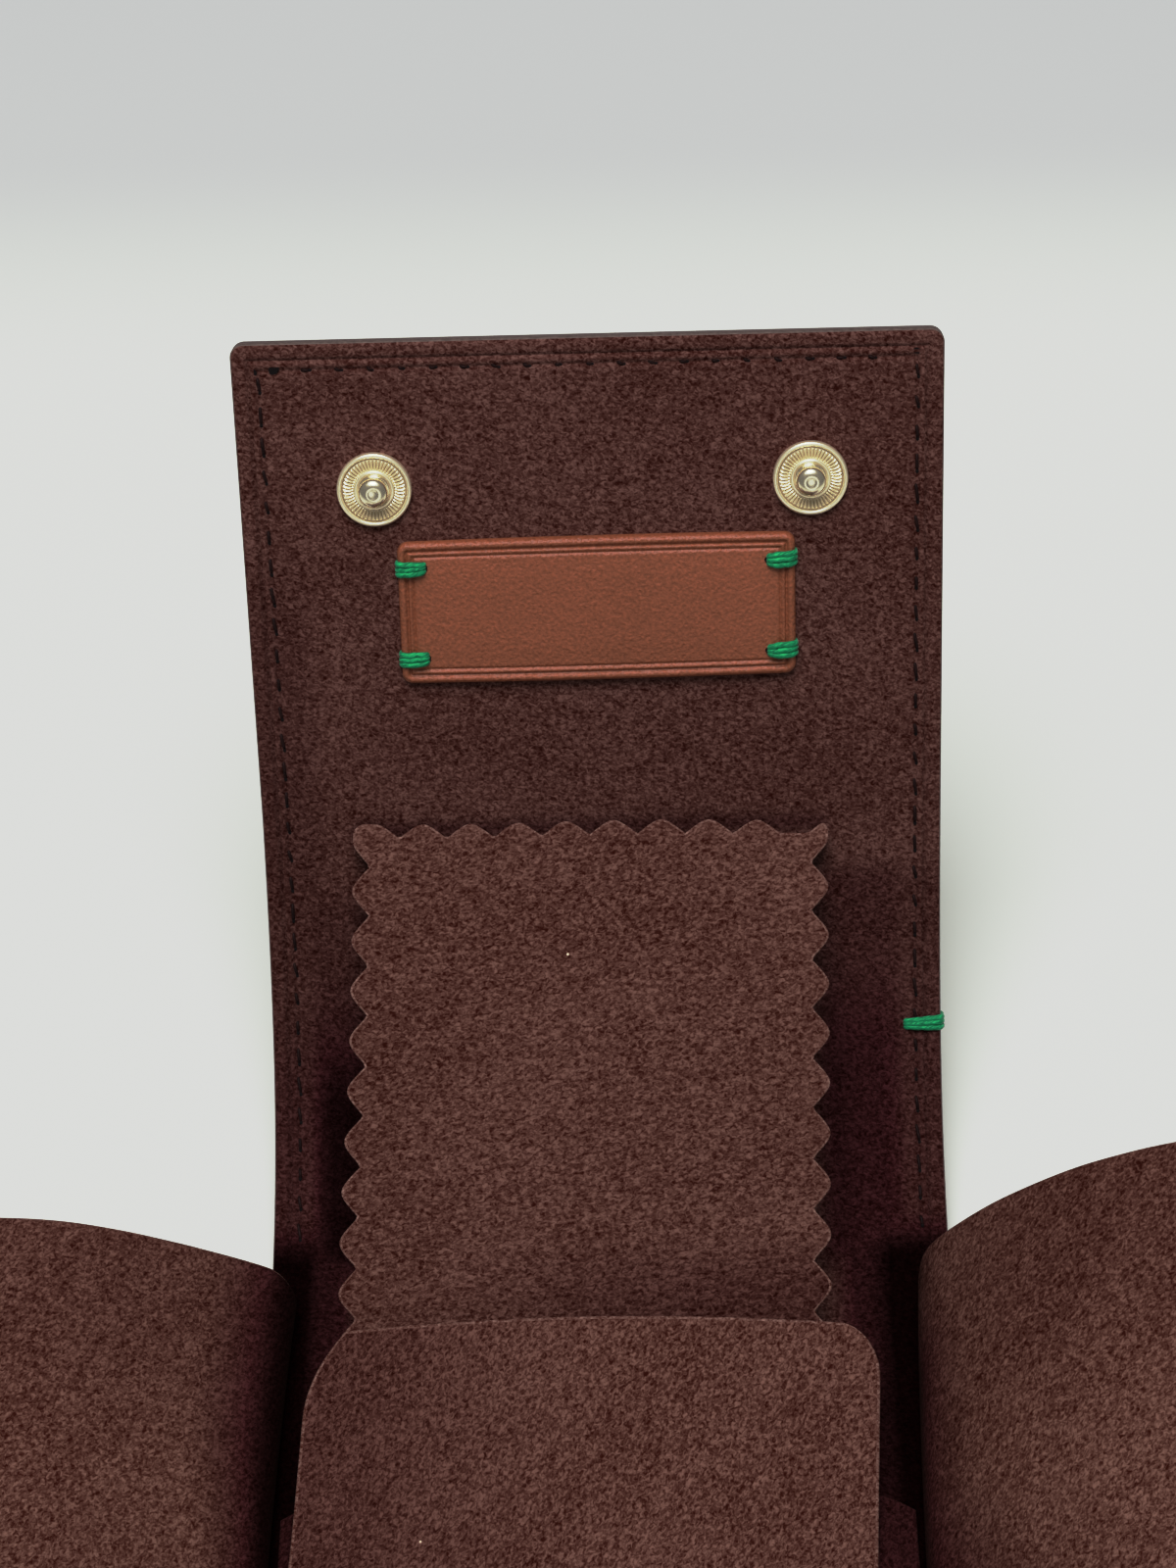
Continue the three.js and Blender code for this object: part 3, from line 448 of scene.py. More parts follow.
class Paint:
    """A material and the texture nodes that these finishes share."""

    def __init__(self, name, roughness):
        self.material = bpy.data.materials.new(name)
        self.material.use_nodes = True
        self.nodes = self.material.node_tree.nodes
        self.shader = self.nodes["Principled BSDF"]
        self.set(Roughness=roughness)
        self.place = self.attribute("flat_place")["Vector"]

    def link(self, out, into):
        self.material.node_tree.links.new(out, into)

    def node(self, kind, inputs, **settings):
        """A new node's outputs. Each input takes a value or another node's output."""
        made = self.nodes.new("ShaderNode" + kind)
        for name, value in settings.items():
            setattr(made, name, value)
        for name, value in inputs.items():
            if isinstance(value, bpy.types.NodeSocket):
                self.link(value, made.inputs[name])
            else:
                made.inputs[name].default_value = value
        return made.outputs

    def attribute(self, name):
        return self.node("Attribute", {}, attribute_type="GEOMETRY", attribute_name=name)

    def stretched(self, scale, location=(0, 0, 0), turn=0.0):
        """The place turned, scaled, then set askew so that no texture shows its lattice."""
        flat = self.node("Mapping", dict(Vector=self.place, Rotation=(0, 0, math.radians(turn))))["Vector"]
        inputs = dict(Vector=flat, Scale=scale, Location=location, Rotation=ASKEW)
        return self.node("Mapping", inputs)["Vector"]

    def noise(self, vector, scale, detail=3.0, roughness=0.6, distortion=0.0):
        inputs = dict(Vector=vector, Scale=scale, Detail=detail, Roughness=roughness, Distortion=distortion)
        return self.node("TexNoise", inputs)["Fac"]

    def cells(self, vector, scale, feature="F1"):
        return self.node("TexVoronoi", {"Vector": vector, "Scale": scale}, feature=feature)["Distance"]

    def math(self, kind, a, b):
        return self.node("Math", {0: a, 1: b}, operation=kind)["Value"]

    def mixed(self, parts):
        """The sum of textures, each times its share."""
        total = None
        for texture, share in parts:
            part = self.math("MULTIPLY", texture, share)
            total = part if total is None else self.math("ADD", total, part)
        return total

    def ramp(self, factor, stops):
        node = self.nodes.new("ShaderNodeValToRGB")
        elements = node.color_ramp.elements
        while len(elements) < len(stops):
            elements.new(0.5)
        for element, (position, colour) in zip(elements, stops):
            element.position = position
            element.color = colour
        self.link(factor, node.inputs["Fac"])
        return node.outputs["Color"]

    def tones(self, factor, colour, stops):
        """A colour varied by a texture. Each stop is a level and its share of the colour."""
        return self.ramp(factor, [(level, shade(colour, part)) for level, part in stops])

    def over(self, factor, below, above, blend="MIX"):
        inputs = {"Factor": factor, "A": below, "B": above}
        return self.node("Mix", inputs, data_type="RGBA", blend_type=blend)["Result"]

    def colour(self, socket):
        self.link(socket, self.shader.inputs["Base Color"])

    def relief(self, height, strength, distance):
        inputs = {"Height": height, "Strength": strength, "Distance": distance * MM}
        self.link(self.node("Bump", inputs)["Normal"], self.shader.inputs["Normal"])

    def set(self, **values):
        for name, value in values.items():
            self.shader.inputs[name.replace("_", " ")].default_value = value


NAP_DARK = (0.38, 0.18, 0.14)  # the nap's shadows, of the suede's colour
NAP_PALE = (1.9, 2.25, 2.3)  # its tips
NAP_SPREAD = 0.156  # from the middle of the nap's texture to its shadows or tips
NAP_SHEEN = (0.515, 0.305, 0.231, 1.0)
LINT_COLOUR = (0.8, 0.66, 0.52, 1.0)
LINT_SIZE = 0.16
PAINTED_SHADE_TONES = [  # what painted shade, from 0 to 1, leaves of the suede's colour
    (0, (1, 1, 1, 1)), (0.3, (0.72, 0.66, 0.68, 1)), (0.75, (0.42, 0.26, 0.34, 1)),
    (1, (0.05, 0.02, 0.025, 1)),
]


def suede(
    name, colour, nap=2.75, stretch=(0.8, 1.0, 1.0), turn=0.0, lint=0.10, contrast=1.0, patches=0.22,
    with_painted_shade=True,
):
    """Brushed suede: fine nap, broad strokes, a few specks of lint, and painted shade where a mesh asks for it."""
    paint = Paint(name, 0.95)
    grain = paint.stretched(stretch, turn=turn)
    fine = paint.noise(grain, nap * 0.88, 3.0, 0.62, 0.7)
    tufts = paint.noise(grain, nap * 0.3, 2.0, 0.5)
    strokes = paint.noise(paint.stretched((0.03, 0.06, 0.04), turn=turn), 1.0, 3.0, 0.55, 0.5)
    value = paint.mixed([(fine, 1 - patches), (tufts, patches * 0.55), (strokes, patches * 0.45)])
    wide = NAP_SPREAD / contrast
    nap_colour = paint.tones(value, colour, [(0.5 - wide, NAP_DARK), (0.5, 1), (0.5 + wide, NAP_PALE)])
    if lint:
        speck = paint.cells(paint.stretched((1, 1, 0.01)), lint)
        speck = paint.math("LESS_THAN", speck, lint * LINT_SIZE)
        chosen = paint.noise(paint.stretched((1, 1, 1), (17, 5, 3)), 0.05, 0.0)
        speck = paint.math("MULTIPLY", speck, paint.math("GREATER_THAN", chosen, 0.5))
        nap_colour = paint.over(speck, nap_colour, LINT_COLOUR)
    # Painted shade: a per-point attribute darkens the nap where creases and nearby parts would shade it.
    if with_painted_shade:
        left = paint.ramp(paint.attribute("fold_shade")["Fac"], PAINTED_SHADE_TONES)
        nap_colour = paint.over(1.0, nap_colour, left, "MULTIPLY")
    paint.colour(nap_colour)
    paint.relief(fine, 0.5, 0.2)
    paint.set(Sheen_Weight=0.03, Sheen_Roughness=0.45, Sheen_Tint=NAP_SHEEN, Specular_IOR_Level=0.03)
    return paint.material


def grained_leather(name, colour, cell, roughness, depth, contrast=0.25):
    """Smooth leather with a fine pebbled grain."""
    paint = Paint(name, roughness)
    flow = paint.stretched((1.0, 1.0, 1.0))
    pebbles = paint.cells(flow, 1 / cell, "SMOOTH_F1")
    soft = paint.noise(flow, 1.3 / cell, 2.0, 0.5)
    broad = paint.noise(flow, 0.07, 3.0, 0.5)
    value = paint.mixed([(soft, 0.8), (broad, 0.2)])
    stops = [(0.34, 1 - 2 * contrast), (0.5, 1), (0.66, 1 + 2 * contrast)]
    paint.colour(paint.tones(value, colour, stops))
    paint.relief(paint.mixed([(pebbles, 0.5), (soft, 0.7)]), 0.6, depth)
    paint.set(Specular_IOR_Level=0.4)
    return paint.material


def plain(name, colour, roughness, metallic=0.0, grain=0.0, contrast=0.12):
    """A plain finish with a slight unevenness."""
    paint = Paint(name, roughness)
    value = paint.noise(paint.stretched((1, 1, 1)), 1.6, 3.0)
    paint.colour(paint.tones(value, colour, [(0.3, 1 - contrast), (0.7, 1 + contrast)]))
    if grain:
        paint.relief(paint.noise(paint.stretched((1, 1, 1)), 5.0, 3.0), 0.4, grain)
    paint.set(Metallic=metallic)
    return paint.material


def twisted_thread(name, colour, sheen=0.25):
    """Thread with fine fibres along it."""
    paint = Paint(name, 0.62)
    fibres = paint.noise(paint.stretched((0.8, 3.4, 1.0), turn=30), 1.6, 2.0)
    paint.colour(paint.tones(fibres, colour, [(0.3, 0.5), (0.5, 1), (0.7, 1.5)]))
    paint.relief(fibres, 0.5, 0.08)
    paint.set(Sheen_Weight=sheen, Sheen_Roughness=0.4, Specular_IOR_Level=0.2)
    return paint.material


# The lining's colour is darker than the other suedes' partly as painted shade, to hold the flap's darker tone.
LINING_SUEDE = suede("lining_suede", (0.114, 0.0535, 0.0438), turn=10, contrast=1.24, patches=0.26)
WING_SUEDE = suede("wing_suede", (0.138, 0.0675, 0.0517), turn=-50, lint=0.11, contrast=1.3, patches=0.3)
TONGUE_SUEDE = suede("tongue_suede", (0.131, 0.063, 0.049), turn=-60, lint=0.09, contrast=1.3, patches=0.25)
CLOTH_SUEDE = suede(
    "cloth_suede", (0.126, 0.0608, 0.0478), stretch=(0.72, 1.0, 1.0), turn=-12, lint=0.09, contrast=1.25,
    patches=0.26,
)
CUT_EDGE = suede("cut_edge", (0.175, 0.096, 0.078), nap=3.0, lint=0, with_painted_shade=False)
EDGE_PAINT = plain("edge_paint", (0.14, 0.103, 0.088), 0.55, grain=0.08, contrast=0.3)
OUTER_LEATHER = grained_leather("outer_leather", (0.19, 0.08, 0.048), 0.7, 0.44, 0.2, contrast=0.14)
LABEL_LEATHER = grained_leather("label_leather", (0.296, 0.115, 0.061), 0.5, 0.44, 0.28, contrast=0.08)
BROWN_THREAD = twisted_thread("brown_thread", (0.022, 0.009, 0.008), sheen=0.0)
# The holes are near-black discs and tubes: painted shade for the depth of an awl hole.
HOLE_SHADE = plain("stitch_hole", (0.006, 0.003, 0.003), 1.0)
GREEN_THREAD = twisted_thread("green_thread", (0.02, 0.31, 0.14))
GOLD = plain("snap_metal", (0.88, 0.79, 0.60), 0.28, metallic=0.65, contrast=0.03)
# Darker metal for the snaps' flutes and grooves: painted shade.
FLUTE_SHADE_METAL = plain("snap_tarnish", (0.5, 0.42, 0.29), 0.4, metallic=0.6, contrast=0.1)
BALL_METAL = plain("snap_ball_metal", (0.84, 0.76, 0.58), 0.24, metallic=0.9, contrast=0.03)
STEEL = plain("spring_steel", (0.6, 0.6, 0.58), 0.25, metallic=1.0, contrast=0.03)
BOARD = plain("board", (0.305, 0.254, 0.188), 0.85)


# Strip: one curve from the front panel's free edge to the flap's

class StripPiece:
    """A length of the strip. s grows from the front panel's edge to the flap's."""

    splay = 0.0  # how far its left edge spreads towards s_to

    def __init__(self, tag, start, control, end, s_from, s_to, bodies, free=None):
        self.tag = tag
        self.points = [np.asarray(p, float) for p in (start, control, end)]
        self.s_from = s_from
        self.s_to = s_to
        self.bodies = bodies
        self.free = free  # +1 or -1 where this end of the strip is free

    def share(self, s):
        return (np.asarray(s, float) - self.s_from) / (self.s_to - self.s_from)

    def at(self, s):
        """Place and inward normal in the side view at s."""
        u = self.share(s)[..., None]
        a, c, b = self.points
        place = (1 - u) ** 2 * a + 2 * u * (1 - u) * c + u * u * b
        tangent = unit((1 - u) * (c - a) + u * (b - c))
        return place, np.stack([-tangent[..., 1], tangent[..., 0]], -1)

    def point(self, x, s, lift):
        """Points in space: across the strip, along it, and above the lining's face."""
        place, normal = self.at(s)
        side = place + normal * np.asarray(lift, float)[..., None]
        x = np.broadcast_to(x, side.shape[:-1])
        x = x - self.splay * self.share(s) * smooth((-x - 26) / 17)
        return np.concatenate([x[..., None], side], -1)


def fold_place(name):
    return np.array(joint[name]["pos_m"][1:]) / MM


def heading(degrees, sign):
    return np.array([sign * math.cos(math.radians(degrees)), math.sin(math.radians(degrees))])


def end_of_strip(names, sign, degrees, length, tag, panel):
    """The bends of one end of the strip and its panel, outwards from the base."""
    folds = [fold_place(n) for n in names]
    half = np.linalg.norm(folds[1] - folds[0]) / 2
    out = heading(degrees, sign)
    middles = [folds[0] - half * heading(0, sign)]
    middles += [(a + b) / 2 for a, b in zip(folds, folds[1:])]
    middles.append(folds[-1] + half * out)
    s = abs(middles[0][0])
    pieces = []

    def add(name, a, c, b, length, bodies):
        free = sign if len(bodies) == 1 else None
        ends = (a, c, b, s, s + length) if sign > 0 else (b, c, a, -s - length, -s)
        pieces.append(StripPiece(name, *ends, bodies, free))

    for n, name in enumerate(names):
        bodies = (joint[name]["parent"], joint[name]["child"])
        add(f"{tag}_{n + 1}", middles[n], folds[n], middles[n + 1], 2 * half, bodies)
        s += 2 * half
    tip = folds[-1] + length * out
    add(panel, middles[-1], (middles[-1] + tip) / 2, tip, length - half, (panel,))
    return pieces


FAR_FOLDS = ["flap_fold"] + [f"far_fold_{n}" for n in range(2, 6)]
NEAR_FOLDS = ["front_fold"] + [f"near_fold_{n}" for n in range(2, 6)]
far = end_of_strip(FAR_FOLDS, 1, FLAP_HEADING, FLAP_LENGTH, "far_bend", "flap")
near = end_of_strip(NEAR_FOLDS, -1, FRONT_HEADING, FRONT_LENGTH, "near_bend", "front")
ends = near[0].s_to, far[0].s_from
line = [(s, STRIP_THICKNESS) for s in (ends[0], sum(ends) / 2, ends[1])]
base = StripPiece("base", *line, *ends, ("base",))
strip = near[::-1] + [base] + far
flap = far[-1]
flap.splay = FLAP_SPLAY
front = near[-1]
S_MIN = front.s_from
S_MAX = flap.s_to
FLAP_ROOT_S = flap.s_to - FLAP_LENGTH
FRONT_ROOT_S = front.s_from + FRONT_LENGTH


def carried(piece, made):
    """A mesh moves with its piece of the strip and bends where that crosses a fold."""
    if len(piece.bodies) == 1:
        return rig.ride(made, piece.bodies[0])
    ends = [(0, *(p * MM)) for p in (piece.points[0], piece.points[2])]
    inner, outer = ends if piece.s_from > 0 else ends[::-1]
    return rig.blend(made, piece.bodies[0], piece.bodies[1], start=inner, end=outer)


def lining_relief(d):
    return (
        edge_drop(d, 0.9, 0.5) + bump(d, 2.05, 0.24, -0.28) + bump(d, 2.62, 0.3, 0.08)
        + bump(d, STITCH_INSET, 0.24, -0.2)
    )


def leather_relief(d):
    return edge_drop(d, 1.2, 0.75) + bump(d, 2.0, 0.22, -0.14) + bump(d, STITCH_INSET, 0.36, -0.16)


def strip_grid(piece):
    """Places over a piece of the strip, its free corners rounded, and their distance from its edge."""
    columns = spread(2 * HALF_WIDTH, EDGE_STEPS, 1.5) - HALF_WIDTH
    length = piece.s_to - piece.s_from
    if piece.free is None:
        rows = np.linspace(0, length, BEND_ROWS if len(piece.bodies) == 2 else BASE_ROWS)
    else:
        rows = np.linspace(0, length - EDGE_STEPS[-1], round(length))
        rows = np.concatenate([rows, length - EDGE_STEPS[-2::-1]])
        rows = rows if piece.free > 0 else length - rows[::-1]
    x, s = np.meshgrid(columns, rows + piece.s_from)
    side = HALF_WIDTH - np.abs(x)
    d = side
    if piece.free is not None:
        end = S_MAX - s if piece.free > 0 else s - S_MIN
        d = np.minimum(side, end)
        side, end = round_corner(side, end, STRIP_CORNER)
        x = np.sign(x) * (HALF_WIDTH - side)
        s = S_MAX - end if piece.free > 0 else S_MIN + end
    return x, s, d


def cells(d):
    """The mean of a grid's values over each of its faces."""
    return (d[:-1, :-1] + d[:-1, 1:] + d[1:, 1:] + d[1:, :-1]).ravel() / 4


def flat_places(x, s, front, back):
    """The flat places of a shell's two faces."""
    return np.concatenate([np.stack([x, s, lift], -1).reshape(-1, 3) for lift in (front, back)])


def lining_painted_shade(x, s):
    """Painted shade on the lining: at the wings' roots, round the cloth, at the flap's left edge."""
    away = np.abs(x + 1.8)
    roots = 0.84 * smooth((away - 28) / 5) + 0.16 * smooth((away - 34.5) / 2.5)
    roots = roots * smooth((56 - np.abs(s)) / 12)
    right = 0.46 * smooth((98 - s) / 5) + 0.33 * smooth((86 - s) / 16)
    left = 0.3 * smooth((97 - s) / 8) + 0.65 * smooth((86 - s) / 22)
    beside = np.where(x > 0, right, left) * smooth((np.abs(x) - 25) / 4) * smooth((s - 38) / 8)
    beside = beside * (1 - 0.45 * smooth((np.abs(x) - 36) / 3))
    notches = bump(s, FLAP_ROOT_S + 5.3, 1.3, 0.48) * smooth((31 - np.abs(x + 1.4)) / 2)
    edge = 0.22 * smooth((-x - 33) / 5) * smooth((s - 62) / 10) * smooth((150 - s) / 30)
    return np.maximum.reduce([roots, beside, notches, edge])


OUTSIDE_APART = (0, 400, 0)  # keeps the grain outside apart from the grain inside
for piece in strip:
    x, s, d = strip_grid(piece)
    wave = 0.13 * waves(x / 9, s / 11, 3) * smooth((d - 4) / 8)
    lift = lining_relief(d) + wave
    under = np.full_like(lift, -LINING_BACK)
    points, faces, slots = solid(piece.point(x, s, lift), piece.point(x, s, under))
    slots[: len(cells(d))][cells(d) < PAINTED_BAND] = 2
    # Painted shade darkens the lining in the creases at the wings' roots, round the cloth and at the flap's left edge.
    lining = add_mesh(
        f"suede_{piece.tag}", points, faces, [LINING_SUEDE, LINING_SUEDE, EDGE_PAINT], slots,
        flat_places(x, s, lift, under), np.tile(lining_painted_shade(x, s).ravel(), 2),
    )
    carried(piece, lining)
    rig.slot(lining, "lining_suede")

    outside = -STRIP_THICKNESS - leather_relief(d) + 0.4 * wave
    inside = -np.where((d > BOARD_MARGIN) & (len(piece.bodies) == 1), BOARD_POCKET, LEATHER_FRONT)
    points, faces, slots = solid(piece.point(x, s, inside), piece.point(x, s, outside))
    flat = flat_places(x, s, inside, outside)
    flat[x.size:] += OUTSIDE_APART
    leather = add_mesh(
        f"leather_{piece.tag}", points, faces, [OUTER_LEATHER, OUTER_LEATHER, EDGE_PAINT], slots, flat,
    )
    carried(piece, leather)
    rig.slot(leather, "outer_leather")
    if f"lining_{piece.tag}" in frame["nodes"]:
        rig.replaces(lining, f"lining_{piece.tag}")
        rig.replaces(leather, f"outer_leather_{piece.tag}")


# Stitches: a row round the strip, on both faces

def stitch(piece, x, s, along_x, number, face):
    """One stitch and the hole at its end. along_x for the rows across the strip."""
    t = np.linspace(-1, 1, 9)
    slant = 0.12 + 0.1 * math.sin(2.4 * number)
    length = CROSS_STITCH_LENGTH if along_x else STITCH_LENGTH
    run = t * length / 2 * (0.9 + 0.25 * math.sin(3.7 * number))
    lift = 0.06 * math.sin(5.1 * number) - 0.36 * np.abs(t) ** 3
    if face < 0:
        lift = -STRIP_THICKNESS - 0.1 - lift
    radius = THREAD_RADIUS * (0.8 if along_x else 1.0)

    def place(run, off):
        return (x + run, s - off) if along_x else (x - off, s + run)

    thread = tube(piece.point(*place(run, slant * t), lift), radius, 8, flat_from=7.3 * s + x)
    # The hole is a short dark tube sunk below the face: painted shade.
    h = np.linspace(-0.3, 0.3, 5)
    level = (-0.2 if face > 0 else -STRIP_THICKNESS + 0.2) + 0 * h
    end = -1 if along_x else 0
    return thread, tube(piece.point(*place(run[end] + h, slant * t[end] + 0 * h), level), radius * 1.2, 8)


def seam_places():
    """Every stitch of the strip as (piece, x, s, along_x)."""
    s = S_MAX - CORNER_STITCH
    while s > S_MIN + CORNER_STITCH:
        piece = next(p for p in strip if p.s_from <= s <= p.s_to)
        for side in (-1, 1):
            yield piece, side * (HALF_WIDTH - STITCH_INSET), s, False
        s -= STITCH_PITCH
    across = int(2 * (HALF_WIDTH - STITCH_INSET) / STITCH_PITCH) - 1
    for n in range(across):
        x = (n - (across - 1) / 2) * STITCH_PITCH
        yield flap, x, S_MAX - STITCH_INSET, True
        yield front, x, S_MIN + STITCH_INSET, True


def punched(x, from_end, radius, level=0.04):
    """A dark disc for an awl hole in the flap, or at a level above its lining: painted shade for the hole."""
    angle = np.linspace(0, 2 * math.pi, 18, endpoint=False)
    uneven_radius = radius * (1 + 0.12 * np.sin(2 * angle + x) + 0.06 * np.sin(5 * angle))
    s = S_MAX - from_end + uneven_radius * np.sin(angle)
    places = flap.point(x + uneven_radius * np.cos(angle), s, np.full_like(angle, level))
    return places, [list(range(len(angle)))], places


seam_parts = {}
for number, (piece, x, s, along_x) in enumerate(seam_places()):
    threads, holes = seam_parts.setdefault(piece.tag, (piece, [], []))[1:]
    under_wing = not along_x and abs(s) < WINGS_COVER
    for face in (-1,) if under_wing else (1, -1):
        thread, hole = stitch(piece, x, s, along_x, number, face)
        threads.append(thread)
        holes.append(hole)
CORNER_HOLES = ((-37.8, 3.1, 0.62), (-40.1, 3.4, 0.32), (39.6, 2.6, 0.42))  # x, from the free edge, radius
seam_parts["flap"][2].extend(punched(*hole) for hole in CORNER_HOLES)
for tag, (piece, threads, holes) in seam_parts.items():
    points, faces, flat = joined(threads + holes)
    in_threads = sum(len(t[1]) for t in threads)
    slots = np.repeat([0, 1], [in_threads, len(faces) - in_threads])
    carried(piece, add_mesh(f"stitches_{tag}", points, faces, [BROWN_THREAD, HOLE_SHADE], slots, flat))


# Snaps
BALL_WITHIN = 1.86  # radius of a stud's ball


def turned(name, profile, matrix, steps=96, flutes=0, ball_radius=0.0):
    """A turned form from (radius, height, depth of flutes). Darker metal in flutes and sharp steps is painted shade."""
    rows = np.array([p if len(p) == 3 else (*p, 0.0) for p in profile], float)
    angle = np.linspace(0, 2 * math.pi, steps, endpoint=False)
    r, h, depth = rows.T
    height = h[:, None] + np.abs(depth[:, None]) * np.cos(flutes * angle)
    points = np.stack([np.outer(r, np.cos(angle)), np.outer(r, np.sin(angle)), height], -1)
    faces = [[face[0], *face[:0:-1]] for face in ring_faces(height.shape)]
    valley = np.cos(flutes * (angle + math.pi / steps)) < -0.6
    fluted = (np.abs(depth[:-1]) + np.abs(depth[1:]) > 0.06)[:, None] & valley
    grooved = ((depth[:-1] < 0) & (depth[1:] < 0))[:, None]
    ball = (r[1:] < ball_radius)[:, None]
    slots = np.where(ball, 2, fluted | grooved).ravel().astype(int).tolist()
    slots += [0, 2 if ball_radius else 0]
    local = points.reshape(-1, 3)
    world = local @ matrix[:, :3].T + matrix[:, 3]
    return add_mesh(name, world, faces, [GOLD, FLUTE_SHADE_METAL, BALL_METAL], slots, flat=local, sharp=35)


def stands_for(made, node, slot, body=None):
    """A piece takes a CAD node's place, has a slot and rides on a body where one is named."""
    if body:
        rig.ride(made, body)
    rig.replaces(made, node)
    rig.slot(made, slot)


def panel_matrix(piece, x, s, lift, facing=1):
    """Axes and origin of what stands on a panel, or hangs under it with facing -1."""
    normal = piece.at(s)[1]
    along = [0, normal[1], -normal[0]]
    return np.column_stack([[facing, 0, 0], along, [0, *(facing * normal)], piece.point(x, s, lift)])


GROOVE = -1e-6  # marks a step that takes the darker metal of painted shade
STUD = [
    (4.62, 0), (4.62, 0.5), (4.59, 0.7), (4.5, 0.84), (4.36, 0.92), (4.2, 0.92), (4.08, 0.84),
    (4, 0.68, GROOVE), (3.93, 0.58, GROOVE), (3.86, 0.6, GROOVE), (3.78, 0.72, 0.02),
    (3.66, 0.77, 0.1), (3.4, 0.75, 0.13), (3.05, 0.72, 0.13), (2.8, 0.69, 0.11), (2.66, 0.68, 0.05),
    (2.58, 0.67, GROOVE), (2.54, 0.76, GROOVE), (2.5, 0.94), (2.4, 1.06), (2.26, 1.1), (2.1, 1.05),
    (1.94, 0.96), (1.8, 0.94, GROOVE), (1.6, 1, GROOVE), (1.52, 1.26, GROOVE), (1.56, 1.4),
    (1.68, 1.6), (1.78, 1.84), (1.83, 2.1), (1.81, 2.36), (1.73, 2.6), (1.58, 2.79), (1.36, 2.94),
    (1.1, 3.04), (0.88, 3.09), (0.74, 3.1), (0.62, 3.08), (0.52, 3.04), (0.4, 3.01), (0.05, 3),
]
SOCKET_GAP = 0.2  # from the leather to where the socket's own heights start
SOCKET = [
    (4.3, -0.22), (4.3, 2.2), (4.26, 2.5), (4.14, 2.76), (3.95, 2.92), (3.7, 2.99), (3.5, 2.97),
    (3.4, 2.9), (3.3, 2.88), (3.2, 2.92), (3.1, 2.99), (2.8, 3), (2.6, 2.97), (2.42, 2.88),
    (2.3, 2.72), (2.22, 2.5), (2.2, 2.3), (2.2, 0.9), (2.05, 0.8), (0.05, 0.8),
]
CAP = [
    (1.1, -0.4), (3.7, -0.02), (3.7, 0.22), (3.62, 0.42), (3.42, 0.56), (3, 0.66), (2.2, 0.74),
    (1.2, 0.79), (0.05, 0.8),
]


# The sockets lie as far along the front panel as in the CAD
low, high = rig.box("snap_socket_left")
middle = np.array([(a + b) / 2 for a, b in zip(low, high)][1:]) / MM
origin, normal = front.at(FRONT_ROOT_S)
SOCKET_S = FRONT_ROOT_S + float((middle - origin) @ [normal[1], -normal[0]])
STUD_S = FLAP_ROOT_S + STUD_FROM_ROOT
for side, word in SIDES:
    x = side * SNAP_X
    for name, profile, piece, s, lift, facing, node, flutes in (
        ("stud", STUD, flap, STUD_S + (STUD_OFF if side > 0 else 0), 0.0, 1, "snap_stud", 50),
        ("stud_cap", CAP, flap, STUD_S, -STRIP_THICKNESS, -1, "stud_post", 0),
        ("socket", SOCKET, front, SOCKET_S, -STRIP_THICKNESS - SOCKET_GAP, -1, "snap_socket", 0),
        ("socket_cap", CAP, front, SOCKET_S, 0.0, 1, "socket_post", 0),
    ):
        made = turned(
            f"{name}_{word}", profile, panel_matrix(piece, x, s, lift, facing),
            steps=400 if flutes else 96, flutes=flutes, ball_radius=BALL_WITHIN if flutes else 0.0,
        )
        stands_for(made, f"{node}_{word}", "snap_metal", piece.bodies[0])


# Label and its tacks

def label_relief(d):
    return (
        edge_drop(d, 0.6, 0.5) + bump(d, 0.55, 0.34, 0.12) + bump(d, 1.1, 0.17, -0.30)
        + bump(d, 1.45, 0.18, 0.05) + bump(d, 1.85, 0.18, -0.20) + 0.16 * smooth((d - 1.9) / 3)
    )


LABEL_STEPS = np.concatenate([np.arange(0, 0.8, 0.1), np.arange(0.8, 3.4, 0.12), [3.6, 4.2]])
label_length = LABEL_TO - LABEL_FROM
x, s = np.meshgrid(spread(2 * LABEL_HALF, LABEL_STEPS, 1.2), spread(label_length, LABEL_STEPS, 1.0))
side = np.minimum(x, 2 * LABEL_HALF - x)
end = np.minimum(s, label_length - s)
d = np.minimum(side, end)
round_side, round_end = round_corner(side, end, LABEL_CORNER)
x = np.where(x < LABEL_HALF, round_side, 2 * LABEL_HALF - round_side) - LABEL_HALF
s = np.where(s < label_length / 2, round_end, label_length - round_end)
bow = LABEL_BOW * (1 - (x / LABEL_HALF) ** 2) * np.where(s > label_length / 2, 0.5, -0.7)
s = s + FLAP_ROOT_S + LABEL_FROM + bow * smooth(1 - d / 6) + LABEL_TILT * x
x = x + LABEL_SHIFT
lift = LABEL_THICKNESS + label_relief(d) + 0.05 * waves(x / 6, s / 5, 11)
points, faces, slots = solid(flap.point(x, s, lift), flap.point(x, s, 0 * lift - 0.1))
flat = flat_places(x, s, lift, 0 * lift)
label = add_mesh("label_plate", points, faces, [LABEL_LEATHER] * 3, slots, flat)
stands_for(label, "label", "label_leather", "flap")


def tack(piece, path, s, slant, width, seed):
    """Strands of thread side by side over an edge. path holds (x, lift) places."""
    curve = curve_through(path, 400)
    share = np.linspace(0, 1, 60)
    places = along_curve(curve, share * curve[1][-1])
    pitch = width / TACK_STRANDS
    parts = []
    for n in range(TACK_STRANDS):
        across = (n - (TACK_STRANDS - 1) / 2) * pitch
        ss = s + across * (0.5 + 0.5 * smooth(share / 0.4)) + slant * (share - 0.5)
        ss = ss + 0.05 * np.sin(5 * share + seed + 2 * n)
        lift = places[:, 1] + 0.04 * math.cos(3 * n + seed)
        line = piece.point(places[:, 0], ss, lift)
        parts.append(tube(line, 0.62 * pitch, 14, plies=2, turns=2.1, flat_from=seed * 9 + n * 5))
    return joined(parts)


